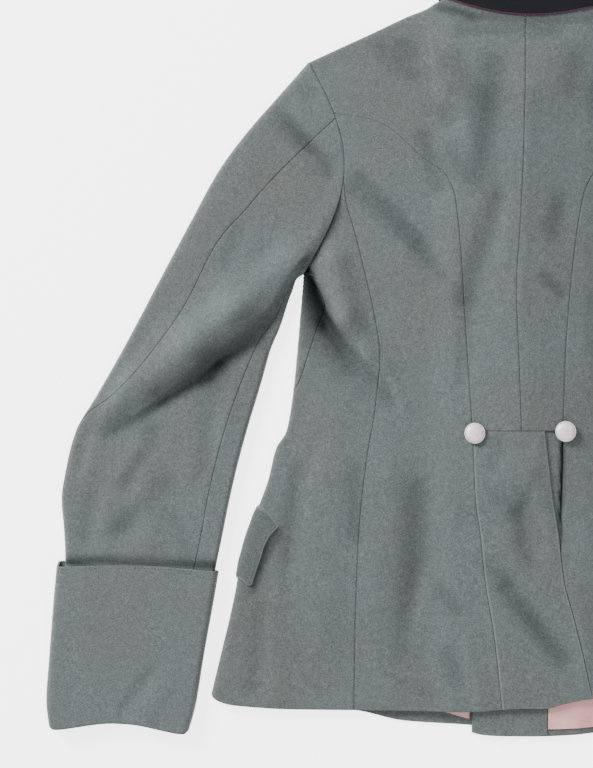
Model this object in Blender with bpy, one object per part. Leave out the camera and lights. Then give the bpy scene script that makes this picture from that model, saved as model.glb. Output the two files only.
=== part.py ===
"""A military tunic laid flat on its front, back up. Metres, +Z up, +Y towards the collar."""

import math

import bmesh
import bpy
import numpy as np
from mathutils import Matrix

# Driving sizes, in millimetres. Plan places are millimetres right of the left picture edge and
# down from the top of the back, so the centre back lies at CENTRE.
CENTRE = 521.0
CLOTH = 2.0
LINING = 1.0
SEAM = 0.35
LAYERED = 7.9
BUTTON_LIFT = 6.9
OVERLAP = 49.0
OVERLAP_STEP = 3.1
FLAP_STEP = 2.7
COLLAR_STEP = 2.7
FOLD_SHARE = 0.12
ARMHOLE_TOP, ARMHOLE_END, ARMHOLE_BOW = (309.0, 61.0), (304.0, 274.0), 38.0
WAIST = 431.0
BUTTON_RADIUS, BUTTON_HEIGHT = 10.4, 5.9
FRONT_BUTTONS, FIRST_BUTTON, LAST_BUTTON = 6, 122.0, 456.0

# Side outline of the body and its seams: (down, across) for each height.
SIDE = [(-40, 296), (61, 296), (240, 300), (274, 303), (304, 301), (352, 297), (400, 292), (432, 286), (448, 276),
        (480, 268), (528, 250), (560, 240.5), (592, 235), (640, 224), (699, 210)]
PRINCESS_LEFT = [(113.8, 337.5), (118, 367), (128, 390), (140.5, 405), (156, 421), (175, 446),
                 (197.5, 455), (250, 460.5), (350, 466.7), (431, 472), (500, 475.3), (533, 480),
                 (583, 485.3), (633, 493.6), (714, 502.5)]
SIDE_SEAM = [(175, 343.8), (197.5, 345.5), (232.5, 355), (262.5, 362.5), (317.5, 375), (353, 380),
             (410, 375), (457, 367), (517, 360), (567, 357), (633, 355), (712, 354)]
CENTRE_SEAM = [(-10, 525.7), (75, 524), (150, 522.5), (225, 519), (288, 515.3), (367, 518.3), (431, 520.5)]
PRINCESS_RIGHT = [(113.8, 704.5), (118, 675), (128, 650), (140.5, 632), (156, 614), (172.5, 594),
                  (192.5, 584), (225, 577.5), (262.5, 572.5), (300, 568.6), (350, 565), (431, 562)]
TAIL_RIGHT = [(431, 544), (452, 546.4), (494, 551.6), (535, 558.4), (580, 563.5), (617, 573), (657, 583),
              (714, 596)]
PLEAT_OPEN = [(431, 18), (452, 14), (483, 10), (504, 6.5), (535, 2.8), (556, SEAM), (714, SEAM)]
# Where the front seam crosses the side fold, as the arc length from the fold: back side positive.
FRONT_SEAM = [(274, 5.9), (284, 10), (300, 17), (328, 18), (353, 14), (378, 8), (395, 0), (450, -26),
              (520, -40), (712, -46)]
# Plan edges: (across, down).
SHOULDER = [(296, 68), (312, 60.5), (339, 48), (374, 32), (408, 16), (425, 9.6), (440, 1), (446, -0.5)]
NECK_LEFT, NECK_WIDE, NECK_TOP, NECK_TILT, BACK_DIP, FRONT_DIP = 446.0, 150.0, -0.5, 8.0, 6.0, 70.0
BACK_HEM = [(210, 698), (235, 706), (298, 709.7), (380, 710.6), (469, 711.8), (521, 708.5), (545, 708.5),
            (563, 704), (593, 699), (662, 709), (744, 709.7), (807, 706), (832, 698)]
FRONT_HEM = [(210, 698), (300, 708.5), (354, 711.5), (404, 722), (471, 726.5), (521, 732), (575, 735)]
INNER_HEM = [(472, 733.5), (484, 736.2), (501, 737.3), (534, 737.6), (566, 736.5), (640, 729), (735, 709),
             (832, 698)]
LINING_HEM = [(380, 706), (438, 711.5), (471, 720), (548, 729.8), (593, 728), (700, 714)]

# Sleeve sections: outer edge, inner edge and how far the row bows towards the body.
SLEEVE = [(309, 61, 304, 274, 38), (278, 96, 296.5, 279.5, 30), (250, 128, 293, 289.5, 22),
          (220, 168, 288, 303, 15), (189, 224, 281, 325, 9), (155, 288, 270, 352, 4),
          (121, 352, 262, 381, 0), (97, 394, 255, 404, 0), (75, 432, 245, 438, 0), (66.5, 464, 237, 468, 0),
          (61, 498, 229, 503, 0), (63.5, 530, 222, 538, 0), (65, 562, 215.5, 570, 0),
          (62, 640, 203, 645, 0), (56, 714, 184, 720, 0)]
# The turn round the sleeve at which its two seams lie, by section.
HIND_SEAM = [(0, 0.316), (2, 0.325), (3, 0.355), (4, 0.287), (5, 0.3), (6, 0.257), (7, 0.16), (8, 0.02),
             (10, -0.08), (14, -0.1)]
FORE_SEAM = [(0, 0.86), (4, 0.84), (5, 0.804), (7, 0.793), (10, 0.794), (14, 0.775)]
CUFF = [(56.5, 566, 219, 571, 0), (54, 592, 215.5, 592, 0), (49, 656, 204, 656, 0), (46, 700, 196, 705, 0),
        (48.5, 728, 189, 733, 0)]
# How far the middle of the cuff's lip and hem lies above its corners.
CUFF_LIP_RISE, CUFF_HEM_RISE = 3.5, 9.2

# Rows shared by all body panels, so that their edges meet point to point.
ROWS = [116, 122, 130, 140, 152, 165, 178, 200, 225, 250, 274, 283, 300, 328, 360, 382, 395, 403, 412, 431, 460, 490, 520,
        550, 580, 610, 640, 675]
DEEPEST = 2.3

# Largest folds: start and end in plan, height, spread. Troughs have a negative height.
BODY_FOLDS = [
    (334, 262, 346, 318, 6.0, 15), (346, 318, 378, 366, 5.0, 14), (308, 280, 322, 322, -2.6, 10),
    (324, 326, 372, 372, -2.8, 10), (410, 50, 452, 120, -2.4, 12), (420, 67, 440, 100, 2.0, 9),
    (495, 65, 478, 180, -2.4, 14), (427, 140, 440, 185, -2.2, 9), (497, 200, 466, 300, -2.4, 12),
    (365, 182, 420, 245, -2.4, 11), (420, 245, 442, 275, -2.2, 9), (387, 52, 415, 77, -1.8, 10),
    (580, 62, 572, 90, -1.8, 14), (560, 207, 555, 235, -1.8, 10), (545, 277, 562, 295, -1.8, 6),
    (418, 493, 408, 650, -2.6, 13), (432, 577, 413, 643, 2.2, 10), (433, 577, 457, 610, -1.8, 7),
    (448, 655, 458, 680, -1.6, 9), (493, 497, 512, 512, -1.8, 6), (530, 487, 517, 515, -2.4, 8),
    (517, 515, 530, 563, -2.6, 9), (490, 567, 510, 583, -1.6, 7), (507, 590, 563, 660, -2.6, 10),
    (357, 470, 356, 540, -2.0, 9), (330, 420, 318, 640, 2.0, 22), (462, 33, 560, 33, -1.5, 7),
    (640, 250, 690, 350, 2.2, 16), (625, 480, 640, 640, -2.4, 14), (655, 500, 668, 600, 2.0, 12),
    (600, 90, 630, 150, -2.0, 12), (700, 262, 668, 366, 5.0, 15), (734, 280, 700, 372, -2.6, 10),
]
SLEEVE_FOLDS = [
    (292, 262, 232, 312, 7.5, 19), (232, 312, 190, 345, 8.0, 21), (190, 345, 118, 398, 6.0, 19),
    (270, 322, 216, 362, -2.6, 10), (216, 362, 160, 398, -3.0, 11), (160, 398, 112, 432, -2.4, 10),
    (153, 433, 130, 483, -2.0, 9), (173, 483, 117, 533, -2.0, 10), (285, 120, 330, 172, -2.4, 9),
    (299, 82, 308, 93, -1.6, 8), (140, 460, 150, 540, 1.8, 14), (205, 200, 165, 262, 2.0, 20),
]
CUFF_FOLDS = [(152, 680, 122, 722, -0.8, 6)]

CLOTH_GREY = (0.168, 0.198, 0.193, 1)
COLLAR_BLACK = (0.019, 0.02, 0.024, 1)
PIPING_WINE = (0.2, 0.03, 0.06, 1)
LINING_PINK = (0.61, 0.4, 0.385, 1)
BUTTON_SILVER = (0.76, 0.7, 0.72, 1)


def curve(points, x):
    """A smooth line through (key, value) points, flat beyond its ends and never overshooting."""
    keys, values = np.array(points, float).T
    x = np.clip(x, keys[0], keys[-1])
    steps = np.diff(values) / np.diff(keys)
    slopes = np.concatenate([[steps[0]], np.where(
        steps[1:] * steps[:-1] > 0, 2 * steps[1:] * steps[:-1] / (steps[1:] + steps[:-1] + 1e-12), 0,
    ), [steps[-1]]])
    k = np.clip(np.searchsorted(keys, x, side="right") - 1, 0, len(keys) - 2)
    wide = keys[k + 1] - keys[k]
    t = (x - keys[k]) / wide
    return (values[k] * (1 + 2 * t) * (1 - t) ** 2 + values[k + 1] * t * t * (3 - 2 * t)
            + wide * (slopes[k] * t * (1 - t) ** 2 - slopes[k + 1] * t * t * (1 - t)))


def soften(t):
    """0 below 0, 1 above 1, with a soft start and end."""
    t = np.clip(t, 0, 1)
    return t * t * (3 - 2 * t)


def folds(table, x, y):
    """The summed height of straight folds, each fading away from its line."""
    total = np.zeros(np.shape(x))
    for x0, y0, x1, y1, high, spread in table:
        along = np.clip(((x - x0) * (x1 - x0) + (y - y0) * (y1 - y0)) / ((x1 - x0) ** 2 + (y1 - y0) ** 2), 0, 1)
        away = np.hypot(x - x0 - along * (x1 - x0), y - y0 - along * (y1 - y0))
        total = total + high * np.exp(-((away / spread) ** 2))
    return np.where(total < 0, -DEEPEST * np.tanh(-total / DEEPEST), total)


def closing_lift(x, y):
    """How far the buttons underneath hold the closed front edges up."""
    rows = soften((y - FIRST_BUTTON + 120) / 90) * soften((LAST_BUTTON + 70 - y) / 60)
    return BUTTON_LIFT * np.exp(-(((x - CENTRE) / 46) ** 2)) * rows


def collar_lift(x, y):
    """The front of the collar lies under the fronts and lifts them."""
    return COLLAR_STEP * soften((118 - np.abs(x - CENTRE)) / 25) * soften((112 - y) / 16)


def flap_lift(x, y):
    """A pocket flap lies under each front and lifts it."""
    side = np.abs(x - CENTRE)
    return FLAP_STEP * soften((side - 112) / 20) * soften((y - 455) / 25) * soften((641 - y) / 25)


def front_low(x, y):
    return closing_lift(x, y) + collar_lift(x, y) + flap_lift(x, y)


def overlap_lift(x):
    """The step of the inner front where it lies on the outer one."""
    return OVERLAP_STEP * soften((CENTRE + OVERLAP + 26 - x) / 22)


def back_high(x, y):
    middle = soften((CENTRE + OVERLAP + 40 - x) / 30) * soften((x - CENTRE + OVERLAP + 46) / 30)
    return LAYERED + front_low(x, y) + OVERLAP_STEP * middle


class Tube:
    """A flattened tube of cloth. Turns: 0 is the left fold, 0 to 1 the upper side, 1 the right fold,
    and -1 to 0 the lower side. Each fold takes FOLD_SHARE of a turn on either side."""

    def __init__(self, ends, low, high, table, row_size, roll=None):
        self.ends, self.low, self.high, self.table = ends, low, high, table
        self.row_size, self.roll = row_size, roll

    def point(self, turn, row):
        """Places in millimetres: across, down, up."""
        turn, row = np.broadcast_arrays(np.asarray(turn, float), np.asarray(row, float))
        left, right, bows = self.ends(row)
        wide = np.hypot(*(right - left))
        radius = LAYERED / 2
        nearest, start = np.round(turn), np.floor(turn)
        bent = np.abs(turn - nearest) < FOLD_SHARE
        side = np.where(nearest % 2 == 0, 1, -1)
        angle = (turn - nearest) / FOLD_SHARE * math.pi / 2
        straight = (turn - start - FOLD_SHARE) / (1 - 2 * FOLD_SHARE)
        straight = np.where(start % 2 == 0, straight, 1 - straight)
        reach = np.where(bent, radius * (1 - np.cos(angle)), radius + straight * (wide - 2 * radius))
        across = np.where(bent & (side < 0), wide - reach, reach)
        share = np.where(bent, (1 + side * np.sin(angle)) / 2, np.where(start % 2 == 0, 1, 0))
        bow = (bows[0] * share + bows[1] * (1 - share)) * np.sin(math.pi * across / wide)
        x, y = left + (right - left) * across / wide + bow
        fade = soften((np.minimum(across, wide - across) - 1) / 26)
        high = self.high(x, y) + folds(self.table, x, y) * fade
        low = self.low(x, y)
        if self.roll:
            share = 0.5 + (share - 0.5) * self.roll(x, y)
        return np.stack([x, y, low * (1 - share) + high * share], -1)

    def normal(self, turn, row):
        """Outward directions, from places a little way round and along."""
        round_by, along_by = 0.001, 0.0005 * self.row_size
        round_step = self.point(turn + round_by, row) - self.point(turn - round_by, row)
        along_step = self.point(turn, row + along_by) - self.point(turn, row - along_by)
        out = np.cross(round_step, along_step)
        return out / np.linalg.norm(out, axis=-1, keepdims=True)

    def turn_at(self, x, row):
        """The turn on the upper side at which a level row is at x."""
        left, right, _ = self.ends(row)
        share = (x - left[0] - LAYERED / 2) / (right[0] - left[0] - LAYERED)
        return FOLD_SHARE + share * (1 - 2 * FOLD_SHARE)


def body_ends(row):
    left = curve(SIDE, row)
    none = np.zeros((2, *np.shape(row)))
    return np.stack([left, row]), np.stack([2 * CENTRE - left, row]), (none, none)


def section_ends(table):
    """The ends of a tube's rows from its sections. The bow is across on both sides."""
    numbers = range(len(table))

    def ends(row):
        lx, ly, rx, ry, bow = (curve(list(zip(numbers, column)), row) for column in zip(*table))
        bows = np.stack([bow, 0 * bow])
        return np.stack([lx, ly]), np.stack([rx, ry]), (bows, bows)

    return ends


def ring_ends(first, last):
    """The ends of a neck piece's rows: left and right end, and how far back and front bow down."""

    def ends(row):
        lx, ly, rx, ry, back, front = (a + (b - a) * row for a, b in zip(first, last))
        return (np.stack([lx, ly]), np.stack([rx, ry]),
                (np.stack([0 * back, back]), np.stack([0 * front, front])))

    return ends


def shoulder_row(x):
    """The shoulder edge. The right one lies lower at the neck, because the neck is turned a little."""
    near = CENTRE - np.abs(x - CENTRE)
    return curve(SHOULDER, near) + np.where(x > CENTRE, NECK_TILT * soften((near - 330) / 90), 0)


def shoulder_roll(x, y):
    """1 on the layers, falling to 0 at the shoulder edge, where back and front meet."""
    near = np.clip((y - shoulder_row(x)) / (LAYERED / 2), 0.0015, 1)
    rolled = 0.3 + 0.7 * np.sqrt(1 - (1 - near) ** 2)
    beside = soften((np.abs(x - CENTRE) - 76) / 8)
    return 1 - (1 - rolled) * beside


def inside_cuff(y):
    """0 along the sleeve, 1 where it lies inside its cuff."""
    return soften((y - 536) / 18)


BODY = Tube(body_ends, front_low, back_high, BODY_FOLDS, 100, shoulder_roll)
INNER_BODY = Tube(
    body_ends, lambda x, y: front_low(x, y) + overlap_lift(x), back_high, BODY_FOLDS, 100, shoulder_roll,
)
SLEEVES = Tube(
    section_ends(SLEEVE),
    lambda x, y: 2.6 * inside_cuff(y),
    lambda x, y: LAYERED + 2.2 * soften((290 - x) / 60) + 0.2 * inside_cuff(y),
    SLEEVE_FOLDS,
    0.5,
)
CUFFS = Tube(section_ends(CUFF), lambda x, y: 0 * x, lambda x, y: 13.2 + 0 * x, CUFF_FOLDS, 0.5)
COLLAR = Tube(
    ring_ends((447, -14, 603, 1.5, -14, 42), (438, -4, 605, 3.5, 15, 84)),
    lambda x, y: front_low(x, y) - CLOTH - 0.6,
    lambda x, y: back_high(x, y) + CLOTH + 0.5,
    [],
    0.5,
)
STAND = Tube(
    ring_ends((451, -11.5, 599, 1, -8, 44),
              (NECK_LEFT + 1, NECK_TOP - 1.4, NECK_LEFT + NECK_WIDE - 1, NECK_TOP + NECK_TILT - 1.4,
               BACK_DIP, FRONT_DIP - 2)),
    front_low,
    back_high,
    [],
    0.5,
)


def material(name, color, roughness, metallic=0.0):
    made = bpy.data.materials.new(name)
    made.use_nodes = True
    shader = made.node_tree.nodes["Principled BSDF"]
    shader.inputs["Base Color"].default_value = color
    shader.inputs["Roughness"].default_value = roughness
    shader.inputs["Metallic"].default_value = metallic
    return made


def place(spot, mirrored=False):
    """Metres in the part's frame, from plan millimetres."""
    x, y, z = spot
    side = -1 if mirrored else 1
    return (side * (x - CENTRE) / 1000, -y / 1000, z / 1000)


def keep(made, name, finish):
    """Stores a bmesh as a named object."""
    bmesh.ops.recalc_face_normals(made, faces=made.faces)
    mesh = bpy.data.meshes.new(name)
    made.to_mesh(mesh)
    made.free()
    mesh.shade_smooth()
    mesh.set_sharp_from_angle(angle=math.radians(50))
    mesh.materials.append(finish)
    piece = bpy.data.objects.new(name, mesh)
    TUNIC.objects.link(piece)
    return piece


def wall(name, outer, inner, finish, mirrored=False):
    """A closed wall between two grids of places of the same count, joined round their edges."""
    rows, columns = outer.shape[:2]
    made = bmesh.new()
    for grid in (outer, inner):
        start = len(made.verts)
        bmesh.ops.create_grid(made, x_segments=columns - 1, y_segments=rows - 1, size=1)
        made.verts.ensure_lookup_table()
        for number, spot in enumerate(grid.reshape(-1, 3)):
            made.verts[start + number].co = place(spot, mirrored)
    bmesh.ops.bridge_loops(made, edges=[edge for edge in made.edges if edge.is_boundary])
    bmesh.ops.triangulate(made, faces=made.faces)
    return keep(made, name, finish)


def panel(name, tube, turns, rows, finish, depth=(0.0, CLOTH), mirrored=False):
    """A wall on a tube. Turns and rows are grids, and depth is measured inwards from the tube."""
    spots = tube.point(turns, rows)
    out = tube.normal(turns, rows)
    return wall(name, spots - out * depth[0], spots - out * depth[1], finish, mirrored)


def seam_turn(table, side):
    """The turn of a seam on the back, kept half a seam's gap to the given side of its line."""

    def turn(row):
        slope = (curve(table, row + 1) - curve(table, row - 1)) / 2
        return BODY.turn_at(curve(table, row) + side * SEAM / 2 * np.sqrt(1 + slope ** 2), row)

    return turn


def armhole(row):
    share = np.clip((row - ARMHOLE_TOP[1]) / (ARMHOLE_END[1] - ARMHOLE_TOP[1]), 0, 1)
    bow = ARMHOLE_BOW * np.sin(math.pi * share)
    return ARMHOLE_TOP[0] + share * (ARMHOLE_END[0] - ARMHOLE_TOP[0]) + bow


def armhole_turn(row):
    slope = (armhole(row + 1) - armhole(row - 1)) / 2
    return BODY.turn_at(armhole(row) + 2 * SEAM * np.sqrt(1 + slope ** 2), row)


def front_seam_turn(side):
    """The turn of the seam between side panel and front, which crosses the side fold."""

    def turn(row):
        slope = (curve(FRONT_SEAM, row + 1) - curve(FRONT_SEAM, row - 1)) / 2
        arc = curve(FRONT_SEAM, row) + side * SEAM * np.sqrt(1 + slope ** 2)
        bend = math.pi * LAYERED / 4
        left = curve(SIDE, row)
        beyond = left + LAYERED / 2 + np.abs(arc) - bend
        return np.where(np.abs(arc) < bend, arc / bend * FOLD_SHARE, np.sign(arc) * BODY.turn_at(beyond, row))

    return turn


def other_side(turn):
    """The same boundary on the tunic's other side."""
    return lambda row: 1 - turn(row)


def join(above, below, row_of_change):
    """One boundary down to a row and another below it."""
    return lambda row: np.where(row < row_of_change, above(row), below(row))


def grid(left, right, top, bottom, columns, shares, crowd=1.0):
    """Turns and rows of a body panel. Left and right give turns by row, top and bottom rows by place.
    A crowd over 1 sets the columns closer towards the right."""
    u = 1 - (1 - np.linspace(0, 1, columns + 1)) ** crowd
    ends = []
    for edge in (top, bottom):
        row = np.full(columns + 1, 300.0)
        for _ in range(8):
            turn = left(row) + u * (right(row) - left(row))
            row = edge(BODY.point(turn, row)[..., 0], turn) + 0 * row
        ends.append(row)
    rows = ends[0] + np.asarray(shares)[:, None] * (ends[1] - ends[0])
    return left(rows) + u * (right(rows) - left(rows)), rows


def even(count):
    return np.linspace(0, 1, count + 1)


def shared(first, last, after_top=()):
    """The shares at which the common rows cut a panel, with extra rows near its top."""
    rows = np.array([first, *after_top, *(row for row in ROWS if first + 0.5 < row < last - 0.5), last])
    return (rows - first) / (last - first)


def at(value):
    return lambda x, turn: value


def neck_edge(dip):
    """The top edge of back or front: shoulder, then neckline."""

    def edge(x, turn):
        across = np.clip((x - NECK_LEFT) / NECK_WIDE, 0, 1)
        neck = NECK_TOP + NECK_TILT * across + dip * np.sin(math.pi * across)
        return np.where(np.abs(x - CENTRE) > NECK_WIDE / 2, shoulder_row(x), neck)

    return edge


def hem(table, lower=None):
    """The bottom edge: its row by place, from another table on the lower side."""

    def edge(x, turn):
        row = curve(table, x)
        return row if lower is None else np.where((turn < 0) | (turn > 1), curve(lower, x), row)

    return edge


def make_back():
    """Back halves, side backs, tail panel and the pleats' inner folds."""
    for name, table, change in (("left", PRINCESS_LEFT, 0), ("right", PRINCESS_RIGHT, 1)):
        outer = armhole_turn if change == 0 else other_side(armhole_turn)
        princess = seam_turn(table, 1 - 2 * change)
        middle = seam_turn(CENTRE_SEAM, 2 * change - 1)
        edge = join(outer, princess, table[0][0] + 1)
        sides = (edge, middle) if change == 0 else (middle, edge)
        panel(f"back_{name}", BODY, *grid(*sides, neck_edge(BACK_DIP), at(WAIST - SEAM / 2), 7,
                                          shared(61, WAIST, (62, 63.5, 65.3, 78, 95, 108))), CLOTH_MATERIAL)
    below_right = lambda row: BODY.turn_at(curve(TAIL_RIGHT, row) + curve(PLEAT_OPEN, row), row)
    side = seam_turn(SIDE_SEAM, 1)
    starts = join(armhole_turn, side, SIDE_SEAM[0][0] + 1)
    inner = {"left": seam_turn(PRINCESS_LEFT, -1),
             "right": join(seam_turn(PRINCESS_RIGHT, 1), below_right, WAIST)}
    panel("side_back_left", BODY, *grid(starts, inner["left"], at(116), hem(BACK_HEM), 6,
                                        shared(116, 710)), CLOTH_MATERIAL)
    panel("side_back_right", BODY, *grid(inner["right"], other_side(starts), at(116), hem(BACK_HEM), 6,
                                         shared(116, 710)), CLOTH_MATERIAL)
    panel("tail_panel", BODY, *grid(seam_turn(PRINCESS_LEFT, 1), seam_turn(TAIL_RIGHT, -1),
                                    at(WAIST + SEAM / 2), hem(BACK_HEM), 7, shared(WAIST, 710)), CLOTH_MATERIAL)
    for name, table, reach in (("left", PRINCESS_LEFT, (-16, 14)), ("right", TAIL_RIGHT, (-8, 24))):
        bounds = [lambda row, by=by, table=table: BODY.turn_at(curve(table, row) + by, row) for by in reach]
        panel(f"pleat_{name}", BODY, *grid(*bounds, at(WAIST + 8), at(WAIST + 125), 3,
                                         shared(WAIST + 8, WAIST + 125)),
              CLOTH_MATERIAL, (CLOTH + 2 * SEAM, 2 * CLOTH + 2 * SEAM))


def make_sides():
    """The side panels, which wrap round the side folds under the arms."""
    left = join(armhole_turn, front_seam_turn(1), ARMHOLE_END[1])
    right = seam_turn(SIDE_SEAM, -1)
    turns, rows = grid(left, right, at(178), hem(BACK_HEM, FRONT_HEM), 8, shared(178, 708))
    panel("side_panel_left", BODY, turns, rows, CLOTH_MATERIAL)
    panel("side_panel_right", BODY, 1 - turns, rows, CLOTH_MATERIAL)


def make_fronts():
    """The fronts under the back, the inner one lying on the outer one, with what lines their hems."""
    def armpit(row):
        return np.minimum(front_seam_turn(-1)(row), -0.115 + (row - ARMHOLE_END[1]) * 0.03)

    outline = join(lambda row: -armhole_turn(row), armpit, ARMHOLE_END[1])
    outer_edge = lambda row: -BODY.turn_at(CENTRE + OVERLAP, row)
    inner_edge = lambda row: -BODY.turn_at(2 * CENTRE - (CENTRE - OVERLAP), row)
    near_top = [62, 63.5, 65.3, 85]
    lengths = shared(61, 708, near_top)
    turns, rows = grid(outline, outer_edge, neck_edge(FRONT_DIP), hem(FRONT_HEM), 12, lengths, 1.25)
    panel("front_left", BODY, turns, rows, CLOTH_MATERIAL)
    top = lambda x, turn: neck_edge(FRONT_DIP)(2 * CENTRE - x, turn)
    bottom = lambda x, turn: curve(INNER_HEM, 2 * CENTRE - x)
    turns, rows = grid(outline, inner_edge, top, bottom, 12, lengths, 1.25)
    panel("front_right", INNER_BODY, 1 - turns, rows, CLOTH_MATERIAL)
    depth = (CLOTH + SEAM, CLOTH + SEAM + LINING)
    strips = (
        ("lining_left", BODY, 392, 470, hem(LINING_HEM), LINING_MATERIAL),
        ("lining_right", INNER_BODY, 548.4, 700, hem(LINING_HEM), LINING_MATERIAL),
        ("facing_right", INNER_BODY, 473, 547.6, lambda x, turn: curve(INNER_HEM, x) - 0.8, CLOTH_MATERIAL),
    )
    for name, tube, start, end, edge, finish in strips:
        bounds = [lambda row, x=x: -BODY.turn_at(x, row) for x in (start, end)]
        panel(name, tube, *grid(*bounds, at(676), edge, 5, even(3)), finish, depth)


def make_sleeves():
    """Two-piece sleeves and their deep turn-back cuffs."""
    rows = np.concatenate([np.linspace(0.02, 8, 18), [8.8, 9.7, 10.6, 11.4, 11.98, 13, 13.98]])[:, None]
    hind, fore = curve(HIND_SEAM, rows), curve(FORE_SEAM, rows)
    gap = 0.0015
    for side in ("left", "right"):
        mirrored = side == "right"
        under = hind + gap + np.linspace(0, 1, 7) * (fore - hind - 2 * gap)
        panel(f"sleeve_under_{side}", SLEEVES, under, rows + 0 * under, CLOTH_MATERIAL, mirrored=mirrored)
        upper = fore + gap - 2 + np.linspace(0, 1, 14) * (2 + hind - fore - 2 * gap)
        panel(f"sleeve_upper_{side}", SLEEVES, upper, rows + 0 * upper, CLOTH_MATERIAL, mirrored=mirrored)
        make_cuff(side, mirrored)


def make_cuff(side, mirrored):
    """A closed tube: its open ends are joined into one turn, so it has no seam of its own."""
    turns = np.array([-0.12, -0.07, 0, 0.07, 0.12, 0.25, 0.38, 0.5, 0.62, 0.75, 0.88, 0.93, 1, 1.07, 1.12,
                      1.25, 1.38, 1.5, 1.62, 1.75])[None, :]
    rows = np.linspace(0, len(CUFF) - 1, 5)[:, None]
    turns, rows = turns + 0 * rows, rows + 0 * turns
    spots = CUFFS.point(turns, rows)
    left, right = spots[..., 0].min(axis=1, keepdims=True), spots[..., 0].max(axis=1, keepdims=True)
    arch = np.sin(math.pi * np.clip((spots[..., 0] - left) / (right - left), 0, 1)) ** 1.6
    spots[..., 1] -= arch * (CUFF_LIP_RISE + (CUFF_HEM_RISE - CUFF_LIP_RISE) * rows / (len(CUFF) - 1))
    inner = spots - CUFFS.normal(turns, rows) * CLOTH
    made = bmesh.new()
    loops = []
    for ring in [*spots, *inner[::-1]]:
        verts = [made.verts.new(place(spot, mirrored)) for spot in ring]
        loops.append([made.edges.new(pair) for pair in zip(verts, verts[1:] + verts[:1])])
    for first, second in zip(loops, loops[1:] + loops[:1]):
        bmesh.ops.bridge_loops(made, edges=first + second)
    bmesh.ops.triangulate(made, faces=made.faces)
    keep(made, f"cuff_{side}", CLOTH_MATERIAL)


# The flap's rear edge: (down, across). Its slanting top and bottom: (share of its length, down).
FLAP = [(526, 279.5), (535, 270.5), (547, 264.3), (569, 257), (584, 251.5)]
FLAP_TOP = [(0, 526), (0.1, 512.6), (0.2, 505), (0.5, 498), (1, 496)]
FLAP_BOTTOM = [(0, 584), (0.05, 585), (0.2, 579), (0.5, 570), (1, 566)]
FLAP_REACH = 118.0


def make_flaps():
    """Pocket flaps: each lies outside the side fold and runs on under the front."""
    u, v = np.linspace(0, 1, 14)[None, :], np.linspace(0, 1, 6)[:, None]
    rows = curve(FLAP_TOP, u) * (1 - v) + curve(FLAP_BOTTOM, u) * v
    rear = FLAP_TOP[0][1] * (1 - v) + FLAP_BOTTOM[0][1] * v
    rear_turn = BODY.turn_at(curve(FLAP, rear), rear)
    front_turn = -BODY.turn_at(250 + FLAP_REACH, rows)
    turns = rear_turn + u * (front_turn - rear_turn)
    depth = (-CLOTH - 0.35, -0.35)
    panel("pocket_flap_left", BODY, turns, rows, CLOTH_MATERIAL, depth)
    panel("pocket_flap_right", BODY, 1 - turns, rows, CLOTH_MATERIAL, depth)


def make_collar():
    """Stand and fall collar with piping along the fall's lower edge, open at the centre front."""
    turns = np.linspace(-0.496, 1.496, 29)[None, :]
    for name, tube, count, finish in (("collar_fall", COLLAR, 3, COLLAR_MATERIAL),
                                      ("collar_stand", STAND, 2, COLLAR_MATERIAL)):
        rows = np.linspace(0, 1, count + 1)[:, None]
        panel(name, tube, turns + 0 * rows, rows + 0 * turns, finish)
    edge = turns[0]
    spots = COLLAR.point(edge, 1.0) - COLLAR.normal(edge, 1.0) * CLOTH / 2
    past = COLLAR.point(edge, 1.02) - COLLAR.point(edge, 1.0)
    past[:, 2] = 0
    spots += past / np.linalg.norm(past, axis=1, keepdims=True) * (PIPING_RADIUS + 2 * SEAM)
    line = bpy.data.curves.new("collar_piping", "CURVE")
    line.dimensions = "3D"
    line.bevel_depth = PIPING_RADIUS / 1000
    line.bevel_resolution = 1
    line.use_fill_caps = True
    spline = line.splines.new("POLY")
    spline.points.add(len(spots) - 1)
    for point, spot in zip(spline.points, spots):
        point.co = (*place(spot), 1)
    line.materials.append(PIPING_MATERIAL)
    TUNIC.objects.link(bpy.data.objects.new("collar_piping", line))


PIPING_RADIUS = 0.9
# A button's turned outline from its crown down its outer side: radius share, height share.
BUTTON_OUTLINE = [(0, 1), (0.42, 0.94), (0.74, 0.72), (0.9, 0.5), (1, 0.32), (0.97, 0.12), (0.86, 0), (0, 0)]


def make_button(name, x, y, z, downwards=False):
    made = bmesh.new()
    verts = [made.verts.new((r * BUTTON_RADIUS / 1000, 0, h * BUTTON_HEIGHT / 1000)) for r, h in BUTTON_OUTLINE]
    for pair in zip(verts, verts[1:]):
        made.edges.new(pair)
    bmesh.ops.spin(made, geom=made.verts[:] + made.edges[:], axis=(0, 0, 1), cent=(0, 0, 0),
                   angle=2 * math.pi, steps=12, use_merge=True)
    bmesh.ops.remove_doubles(made, verts=made.verts, dist=1e-6)
    if downwards:
        bmesh.ops.rotate(made, verts=made.verts, cent=(0, 0, 0),
                         matrix=Matrix.Rotation(math.pi, 3, "X"))
    bmesh.ops.translate(made, verts=made.verts, vec=place((x, y, z)))
    bmesh.ops.triangulate(made, faces=made.faces)
    keep(made, name, BUTTON_MATERIAL)


def make_buttons():
    """Two at the back waist, and a row underneath that closes the fronts."""
    for side, x, y in (("left", 474, 433), ("right", 564.4, 431.2)):
        round_it = [BODY.point(BODY.turn_at(np.array(x + dx), np.array(y + dy)), np.array(y + dy))[2]
                    for dx in (-8, 0, 8) for dy in (-8, 0, 8)]
        make_button(f"back_button_{side}", x, y, max(round_it) + SEAM)
    for number in range(FRONT_BUTTONS):
        y = FIRST_BUTTON + number * (LAST_BUTTON - FIRST_BUTTON) / (FRONT_BUTTONS - 1)
        low = min(float(front_low(CENTRE + dx, y + dy)) for dx in (-9, 0, 9) for dy in (-9, 0, 9))
        make_button(f"front_button_{number + 1}", CENTRE, y, low - 0.6, downwards=True)


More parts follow.
